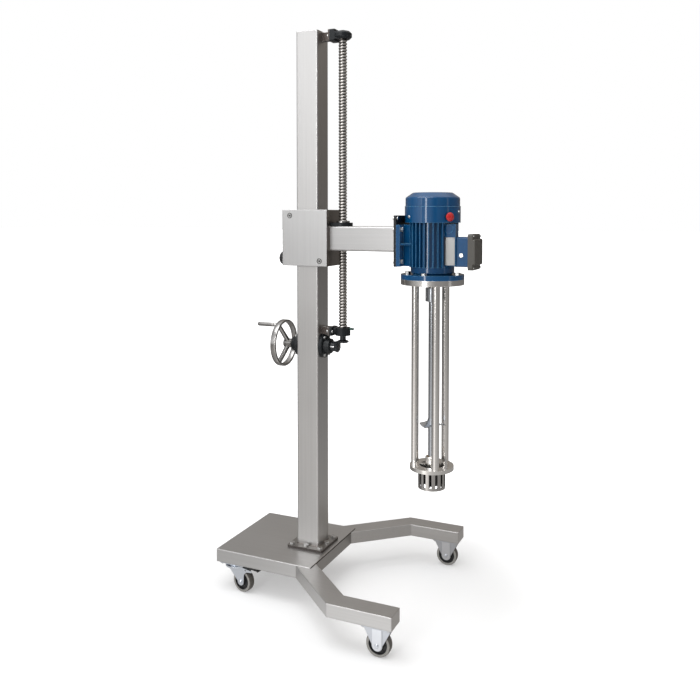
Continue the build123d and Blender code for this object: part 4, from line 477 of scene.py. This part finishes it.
for wheel in ("rear_wheel_near", "rear_wheel_far", "front_wheel_near", "front_wheel_far"):
    middle, axle = Vector(joint_of[wheel]["pos_m"]), Vector(joint_of[wheel]["axis"])
    seat = aim(middle, axle)
    tyre = bmesh.new()
    join(tyre, turn(tyre_outline, 72), seat)
    rubber = set_piece("tyre_" + wheel, tyre, tread_rubber, wheel, (wheel,), crease=60)
    rubber.data.materials.append(side_rubber)
    for face in rubber.data.polygons:
        face.material_index = int(abs((Vector(face.center) - middle).dot(axle)) > tread_half)
    hub = bmesh.new()
    join(hub, turn(hub_outline), seat)
    ribs = bmesh.new()
    for number in range(hub_ribs):
        spread = (Matrix.Rotation(number * 2 * math.pi / hub_ribs, 4, "Z")
                  @ Matrix.Translation((hub_rib_reach, 0, 0))
                  @ Matrix.Rotation(math.pi / 2, 4, "Y") @ Matrix.Diagonal(hub_rib_section))
        bmesh.ops.create_cone(ribs, cap_ends=True, segments=4, radius1=hub_rib_radius, radius2=hub_rib_radius,
                              depth=hub_rib_depth, matrix=spread)
    join(hub, ribs, seat)
    set_piece("hub_" + wheel, hub, hub_nylon, wheel, (wheel,))

# Bearings, brackets and their bolts
# Black oxide castings and bright hexagon bolts, with a stainless block between each bracket and the column.
black_casting = paint_skin("black_casting", (0.011, 0.013, 0.015), 0.36, edge_wear_and_highlight=(0.07, 0.075, 0.08),
                           depth=0.16, grain=420.0, gloss=0.3)
dress(black_casting, "crank_bearing_screw_side", "crank_bearing_wheel_side", "top_bracket", "bottom_bracket",
      "nut_plate", "arm_end_plate")
dress(steel_skin("bright_bolts", (0.60, 0.60, 0.59), 0.28), "base_bolts", "frame_bolts", "motor_bolts",
      "roller_pins")
# Painted shade and highlight: the stainless blocks are coloured dark for the shade they stand in, with pale
# edges for the light they catch.
dress(paint_skin("spacer_painted_shade", (0.085, 0.068, 0.060), 0.36, edge_wear_and_highlight=(0.60, 0.59, 0.58), edge=0.0020,
                 metal=0.5), "bracket_spacers")

# Grease nipple
# A green cap keeps the dirt out of the nipple in the front of the bottom bracket.
cap_green = paint_skin("cap_green", (0.012, 0.075, 0.055), 0.35)
cap_outline = [(0.0, 0.0), (3.9, 0.0), (3.9, 6.5), (2.9, 7.6), (2.6, 9.0), (4.3, 10.2), (4.3, 12.2),
               (2.6, 13.6), (0.0, 14.0)]
cap_sunk, cap_drop = 0.013, 0.005
bracket_front, bracket_top = corners("bottom_bracket")[1][0], corners("bottom_bracket")[1][2]
nipple_cap = bmesh.new()
join(nipple_cap, turn(cap_outline, 24),
     aim((bracket_front - cap_sunk, 0.0, bracket_top - cap_drop), (1, 0, 0)))
set_piece("grease_nipple_cap", nipple_cap, cap_green, "stand")

# Mitre gears
# Two small cast gears of the same cut, one keyed to the cross shaft and one on the foot of the screw. The
# teeth stand on the cones that roll on each other.
gear_iron = paint_skin("gear_iron", (0.014, 0.016, 0.019), 0.30, edge_wear_and_highlight=(0.16, 0.16, 0.165), depth=0.1,
                       edge=0.0006)
gear_teeth = 16
pitch_radius, inner_share = 0.0197, 0.72
tooth_rise, tooth_fall = 0.0009, 0.0018
gear_back, gear_face, gear_bore, back_chamfer = 0.024, 0.0150, 0.0073, 0.0012
key_size, key_edge, key_offset = (0.0145, 0.003, 0.0046), 0.0006, (-0.0323, -0.0168, 0.0008)
shafts_cross = Vector(joint_of["screw"]["pos_m"])


def cut_gear(hub_length, hub_radius):
    """A mitre gear about Z. The shafts cross at the origin, the teeth face it and the hub is behind them."""
    blank = bmesh.new()
    rings = []
    for share in (inner_share, 1.0):
        ring = bmesh.ops.create_circle(blank, cap_ends=False, radius=pitch_radius * share,
                                       segments=4 * gear_teeth,
                                       matrix=Matrix.Translation((0, 0, pitch_radius * share)))["verts"]
        for number, point in enumerate(ring):
            lift = tooth_rise if number % 4 in (0, 1) else -tooth_fall
            out = Vector((point.co.x, point.co.y, 0.0)).normalized()
            point.co += (out - Vector((0, 0, 1))) * lift * share * math.sqrt(0.5)
        rings.append(ring)
    for radius, height in ((hub_radius + back_chamfer, gear_back), (hub_radius, gear_back + back_chamfer),
                           (hub_radius, gear_back + hub_length), (gear_bore, gear_back + hub_length),
                           (gear_bore, gear_face)):
        rings.append(bmesh.ops.create_circle(blank, cap_ends=False, radius=radius, segments=4 * gear_teeth,
                                             matrix=Matrix.Translation((0, 0, height)))["verts"])
    loops = [[e for e in blank.edges if {*e.verts} <= set(ring)] for ring in rings]
    for first, second in zip(loops, loops[1:] + loops[:1]):
        bmesh.ops.bridge_loops(blank, edges=first + second)
    return blank


half_tooth = math.radians(360 / gear_teeth / 8)
for gear, direction, other_shaft, hub_length, hub_radius, body, roll in (
        ("crank_gear", (-1, 0, 0), (0, 0, 1), 0.0167, 0.017, "crank", 0.0),
        ("screw_gear", (0, 0, 1), (-1, 0, 0), 0.0152, 0.010, "screw", 0.5)):
    toothed = bmesh.new()
    seat = aim(shafts_cross, direction)
    mesh_side = seat.inverted().to_3x3() @ Vector(other_shaft)
    first_tooth = math.atan2(mesh_side.y, mesh_side.x) - half_tooth + roll * 2 * math.pi / gear_teeth
    join(toothed, cut_gear(hub_length, hub_radius), seat @ Matrix.Rotation(first_tooth, 4, "Z"))
    set_piece(gear + "_toothed", toothed, gear_iron, body, (gear,), crease=30)
gear_key = bar(key_size, key_edge)
bmesh.ops.translate(gear_key, verts=gear_key.verts, vec=shafts_cross + Vector(key_offset))
set_piece("gear_key", gear_key, steel_skin("key_steel", (0.80, 0.80, 0.80), 0.3), "crank")
dress(steel_skin("oiled_shaft", (0.16, 0.15, 0.145), 0.3), "cross_shaft")

# Lead screw
# Turned steel bar with a right-hand thread of 10 mm pitch and rounded crests, and plain journals in the
# brackets. One turn is spun from the flank, copied upwards and cut off level at both ends.
screw_x = shafts_cross.x
thread_pitch, turn_steps = 0.010, 32
thread_flank = [(10.8, 0.0), (10.8, 0.9), (12.2, 1.6), (13.4, 2.7), (14.0, 4.1), (14.0, 5.9), (13.4, 7.3),
                (12.2, 8.4), (10.8, 9.1), (10.8, 10.0)]
top_bracket_foot = corners("top_bracket")[0][2]
sunk_below, sunk_above = 0.0012, 0.0042
thread_low, thread_high = bracket_top - sunk_below, top_bracket_foot + sunk_above
screw_foot, screw_head = 833.5, corners("lead_screw")[1][2] * 1000
gear_top, low_journal_top = corners("screw_gear")[1][2] * 1000 + 0.1, bracket_top * 1000
high_journal_foot = top_bracket_foot * 1000 + 3.0
low_journal = [(0.0, screw_foot), (6.6, screw_foot), (7.2, screw_foot + 0.7), (7.2, gear_top),
               (10.0, gear_top), (10.0, low_journal_top), (0.0, low_journal_top)]
high_journal = [(0.0, high_journal_foot), (10.0, high_journal_foot), (10.0, screw_head - 1.0),
                (9.0, screw_head), (0.0, screw_head)]
thread = bmesh.new()
flank = [thread.verts.new((radius / 1000, 0.0, rise / 1000)) for radius, rise in thread_flank]
flank_edges = [thread.edges.new(pair) for pair in zip(flank, flank[1:])]
bmesh.ops.spin(thread, geom=flank + flank_edges, cent=(0, 0, 0), axis=(0, 0, 1),
               dvec=(0, 0, thread_pitch / turn_steps), angle=2 * math.pi, steps=turn_steps, use_merge=False)
turns = 1
while turns < (thread_high - thread_low) / thread_pitch + 2:
    copied = bmesh.ops.duplicate(thread, geom=thread.verts[:] + thread.edges[:] + thread.faces[:])["geom"]
    bmesh.ops.translate(thread, verts=[g for g in copied if isinstance(g, bmesh.types.BMVert)],
                        vec=(0, 0, thread_pitch * turns))
    turns *= 2
bmesh.ops.remove_doubles(thread, verts=thread.verts, dist=1e-5)
bmesh.ops.translate(thread, verts=thread.verts, vec=(0, 0, thread_low - thread_pitch))
for height, outer in ((thread_low, False), (thread_high, True)):
    cut = bmesh.ops.bisect_plane(thread, geom=thread.verts[:] + thread.edges[:] + thread.faces[:], dist=1e-7,
                                 plane_co=(0, 0, height), plane_no=(0, 0, 1), clear_outer=outer,
                                 clear_inner=not outer)
    bmesh.ops.holes_fill(thread, edges=[e for e in cut["geom_cut"] if isinstance(e, bmesh.types.BMEdge)])
screw_bar = bmesh.new()
for length in (thread, turn(low_journal, 40), turn(high_journal, 40)):
    join(screw_bar, length, Matrix.Translation((screw_x, 0, 0)))
# Painted shade: the steel darkens inside 12.4 mm radius, down in the thread's roots.
screw_steel = steel_skin("screw_steel", (0.56, 0.535, 0.51), 0.24,
                         inner_shade=(screw_x, 0.0, 0.0124, 0.0011, (0.13, 0.12, 0.11)))
set_piece("threaded_lead_screw", screw_bar, screw_steel, "screw", ("lead_screw",), crease=50)

# Handwheel
# Turned stainless rim on three oval spokes, welded to a hub that is pinned on the cross shaft. A turned grip
# runs freely on the handle's pin.
wheel_steel = steel_skin("wheel_steel", (0.37, 0.36, 0.35), 0.22)
rim_outline = [(71.0, -7.5), (71.6, -9.2), (73.2, -10.0), (77.6, -10.0), (79.3, -9.2), (80.0, -7.5),
               (80.0, 7.5), (79.3, 9.2), (77.6, 10.0), (73.2, 10.0), (71.6, 9.2), (71.0, 7.5), (71.0, -7.5)]
wheel_hub_outline = [(9.05, 0.0), (13.0, 0.0), (15.5, 1.0), (15.5, 33.0), (14.0, 35.0), (9.05, 35.0),
                     (9.05, 0.0)]
handle_reach = 82.0
handle_outline = [(0.0, 8.0), (4.9, 8.0), (5.5, 8.8), (5.5, 18.2), (5.0, 18.7), (3.0, 18.7),
                  (3.0, handle_reach - 1.0), (2.4, handle_reach), (0.0, handle_reach)]
spoke_root, spoke_tip, spoke_slant = 0.009, 0.0735, 0.021
spoke_root_radius, spoke_tip_radius, spoke_flattening = 0.0094, 0.0082, 0.85
hub_x = corners("handwheel")[1][0]
rim_x = corners("handwheel")[0][0] + handle_reach / 1000
shaft_z = joint_of["crank"]["pos_m"][2]
handle_y, handle_z = joint_of["grip"]["pos_m"][1:]
outwards = (-1, 0, 0)
handwheel = bmesh.new()
join(handwheel, turn(rim_outline, 96), aim((rim_x, 0.0, shaft_z), outwards))
for angle in (0, 120, 240):
    out = Vector((0.0, math.cos(math.radians(angle)), math.sin(math.radians(angle))))
    root = Vector((hub_x - spoke_slant, 0.0, shaft_z)) + out * spoke_root
    tip = Vector((rim_x, 0.0, shaft_z)) + out * spoke_tip
    spoke = bmesh.new()
    bmesh.ops.create_cone(spoke, cap_ends=True, segments=20, radius1=spoke_root_radius,
                          radius2=spoke_tip_radius, depth=(tip - root).length,
                          matrix=Matrix.Diagonal((1.0, spoke_flattening, 1.0, 1.0)))
    twist = (tip - root).to_track_quat("Z", "X").to_matrix().to_4x4() @ Matrix.Rotation(math.pi / 2, 4, "Z")
    join(handwheel, spoke, Matrix.Translation((root + tip) / 2) @ twist)
join(handwheel, turn(wheel_hub_outline, 48), aim((hub_x, 0.0, shaft_z), outwards))
join(handwheel, turn(handle_outline, 32), aim((rim_x, handle_y, handle_z), outwards))
set_piece("turned_handwheel", handwheel, wheel_steel, "crank", ("handwheel",))
dress(wheel_steel, "lift_nut", "motor_rotor")
grip_low, grip_high = corners("handle_grip")
grip_long = (grip_high[0] - grip_low[0]) * 1000
grip_outline = [(3.3, 0.0), (5.6, 0.0), (6.4, 1.0), (6.7, 8.0), (6.7, grip_long - 8.0),
                (6.4, grip_long - 1.2), (5.4, grip_long), (3.3, grip_long), (3.3, 0.0)]
grip = bmesh.new()
join(grip, turn(grip_outline, 40), aim((grip_high[0], handle_y, handle_z), outwards))
set_piece("turned_grip", grip, steel_skin("dull_grip", (0.30, 0.29, 0.28), 0.30), "grip",
          ("handle_grip",))

# Carriage and arm
# A welded box that slides on the column, and a square tube welded across to the plate that carries the motor.
# The pins of the guide rollers have dark rims with a cross slot at both ends.
rim_section = [(6.9, -2.0), (9.0, -2.0), (9.0, 0.2), (8.4, 0.6), (6.9, 0.6), (6.9, -2.0)]
slot_size, slot_edge, slot_angle = (0.0100, 0.0022, 0.0007), 0.0002, 52
arm_bead, weld_inset = 0.0020, 0.0005
dress(steel_skin("brushed_arm", (0.51, 0.505, 0.50), 0.38, "X", edge=0.0030), "arm")
# Painted shade: the box's faces turned to +X are darker.
dress(steel_skin("brushed_box", (0.59, 0.585, 0.58), 0.36, "Z", edge=0.0030,
                 cut=("X", 0.4, 0.9, (0.30, 0.275, 0.255))), "carriage_box")
grey_nylon = paint_skin("grey_nylon", (0.10, 0.10, 0.11), 0.45)
dress(grey_nylon, "guide_pads", "guide_roller_upper", "guide_roller_lower", "cooling_fan")
dress(black_moulding, "lock_knob", "button_collar")
pin_low, pin_high = corners("roller_pins")
pin_rims = bmesh.new()
for roller in ("upper_roller", "lower_roller"):
    x, _, z = joint_of[roller]["pos_m"]
    for y, direction in ((pin_low[1], (0, -1, 0)), (pin_high[1], (0, 1, 0))):
        seat = aim((x, y, z), direction)
        join(pin_rims, turn(rim_section, 40), seat)
        for angle in (slot_angle, slot_angle + 90):
            join(pin_rims, bar(slot_size, slot_edge, 1), seat @ Matrix.Rotation(math.radians(angle), 4, "Z"))
set_piece("roller_pin_rims", pin_rims, steel_skin("dark_rim", (0.035, 0.033, 0.03), 0.4), "carriage")
arm_low, arm_high = corners("arm")
arm_weld = bmesh.new()
for end_x in (arm_low[0], arm_high[0] - weld_inset):
    lay_weld(arm_weld, aim((end_x, 0.0, (arm_low[2] + arm_high[2]) / 2), (1, 0, 0)), arm_high[2] - arm_low[2],
             arm_bead)
set_piece("arm_weld", arm_weld, weld_steel, "carriage")

# Motor
# Cast housing and pressed cowl in gloss blue, an olive lid, a bare plate held by four rivets and a red stop
# button. A rolled bead marks the step of the cowl, three screws hold the cowl and four the lid.
# Painted highlight: the fin edges and other edges are pale blue, for the light they catch.
motor_blue = paint_skin("motor_blue", (0.0006, 0.060, 0.170), 0.34, coat=1.0, edge_wear_and_highlight=(0.16, 0.42, 0.66),
                        edge=0.0014, depth=0.01, gloss=0.1)
olive_satin = paint_skin("olive_satin", (0.075, 0.070, 0.061), 0.40, edge=0.0014, edge_wear_and_highlight=(0.15, 0.14, 0.125),
                         gloss=0.4)
bead_outline = [(84.8, 0.0), (87.7, 0.1), (88.2, 0.9), (88.0, 1.8), (86.9, 2.4), (84.8, 2.5), (84.8, 0.0)]
bead_above_foot = 0.0488
cowl_screw_outline = [(0.0, 2.2), (1.5, 2.2), (1.7, 3.4), (3.3, 3.4), (3.9, 3.0), (4.1, 2.2), (4.1, 0.9),
                      (5.6, 0.7), (5.6, -0.3), (0.0, -0.3)]
rivet_outline = [(0.0, 1.0), (0.7, 0.9), (1.2, 0.5), (1.4, 0.0), (1.4, -0.4), (0.0, -0.4)]
rivet_inset_x, rivet_inset_z = 0.003, 0.004
lid_screw_outline = [(0.0, 1.0), (1.4, 1.0), (1.6, 2.4), (2.8, 2.4), (3.2, 2.0), (3.2, -0.4), (0.0, -0.4)]
lid_screw_inset = 0.007
dress(motor_blue, "motor_housing", "rear_end_shield", "fan_cowl", "terminal_box")
dress(olive_satin, "terminal_lid")
dress(steel_skin("bare_plate", (0.33, 0.33, 0.325), 0.40, "Z"), "nameplate")
dress(paint_skin("red_button", (0.50, 0.005, 0.007), 0.24, coat=1.0, depth=0.0), "stop_button")
dress(steel_skin("bright_plug", (0.72, 0.72, 0.70), 0.22), "cable_entries")
head_x = joint_of["spindle"]["pos_m"][0]
cowl_low, cowl_high = corners("fan_cowl")
cowl_radius, cowl_foot = (cowl_high[0] - cowl_low[0]) / 2, cowl_low[2]
cowl_bead = bmesh.new()
join(cowl_bead, turn(bead_outline, 96), Matrix.Translation((head_x, 0, cowl_foot + bead_above_foot)))
set_piece("cowl_step_bead", cowl_bead, motor_blue, "carriage")
cowl_screws = bmesh.new()
for angle, above_foot in ((-127.6, 0.018), (-5.6, 0.034), (112.4, 0.026)):
    out = Vector((math.cos(math.radians(angle)), math.sin(math.radians(angle)), 0.0))
    head_seat = Vector((head_x, 0.0, cowl_foot + above_foot)) + out * cowl_radius
    join(cowl_screws, turn(cowl_screw_outline, 24), aim(head_seat, out))
set_piece("cowl_screws", cowl_screws, steel_skin("screw_zinc", (0.74, 0.75, 0.76), 0.22), "carriage")
plate_low, plate_high = corners("nameplate")
rivets = bmesh.new()
for z in (plate_low[2] + rivet_inset_z, plate_high[2] - rivet_inset_z):
    for x in (plate_low[0] + rivet_inset_x, plate_high[0] - rivet_inset_x):
        join(rivets, turn(rivet_outline, 20), aim((x, plate_low[1], z), (0, -1, 0)))
set_piece("plate_rivets", rivets, wheel_steel, "carriage")
lid_low, lid_high = corners("terminal_lid")
lid_screws = bmesh.new()
for y in (lid_low[1] + lid_screw_inset, lid_high[1] - lid_screw_inset):
    for z in (lid_low[2] + lid_screw_inset, lid_high[2] - lid_screw_inset):
        join(lid_screws, turn(lid_screw_outline, 24), aim((lid_high[0] - lid_screw_inset, y, z), (1, 0, 0)))
set_piece("lid_screws", lid_screws, wheel_steel, "carriage")

# Mixing head
# Polished stainless: adapter flange, rods, ring, slotted stator, shaft and propeller, with a bronze bush. The
# inside of the stator and the rotor behind its slots are painted dark as shade.
stator_bore, stator_soft, stator_shade = 0.0425, 0.0004, (0.035, 0.033, 0.030)
polished = steel_skin("polished_head", (0.84, 0.815, 0.79), 0.20, "Z", hair=0.03)
dress(polished, "adapter_flange", "head_rods")
dress(steel_skin("ground_shaft", (0.43, 0.45, 0.48), 0.18, "Z", hair=0.03), "coupling", "drive_shaft",
      "propeller")
# Painted shade: the stator darkens inside its bore.
dress(steel_skin("slotted_stator", (0.50, 0.485, 0.47), 0.15, "Z", hair=0.03,
                 inner_shade=(head_x, 0.0, stator_bore, stator_soft, stator_shade)), "stator")
# Painted shade: the rotor behind the slots is coloured near black.
dress(steel_skin("rotor_painted_shade", (0.07, 0.068, 0.065), 0.3), "rotor_head")
dress(steel_skin("ring_steel", (0.84, 0.82, 0.79), 0.22, hair=0.12), "head_ring")
dress(paint_skin("bronze_bush", (0.42, 0.25, 0.09), 0.3, metal=1.0), "bush")
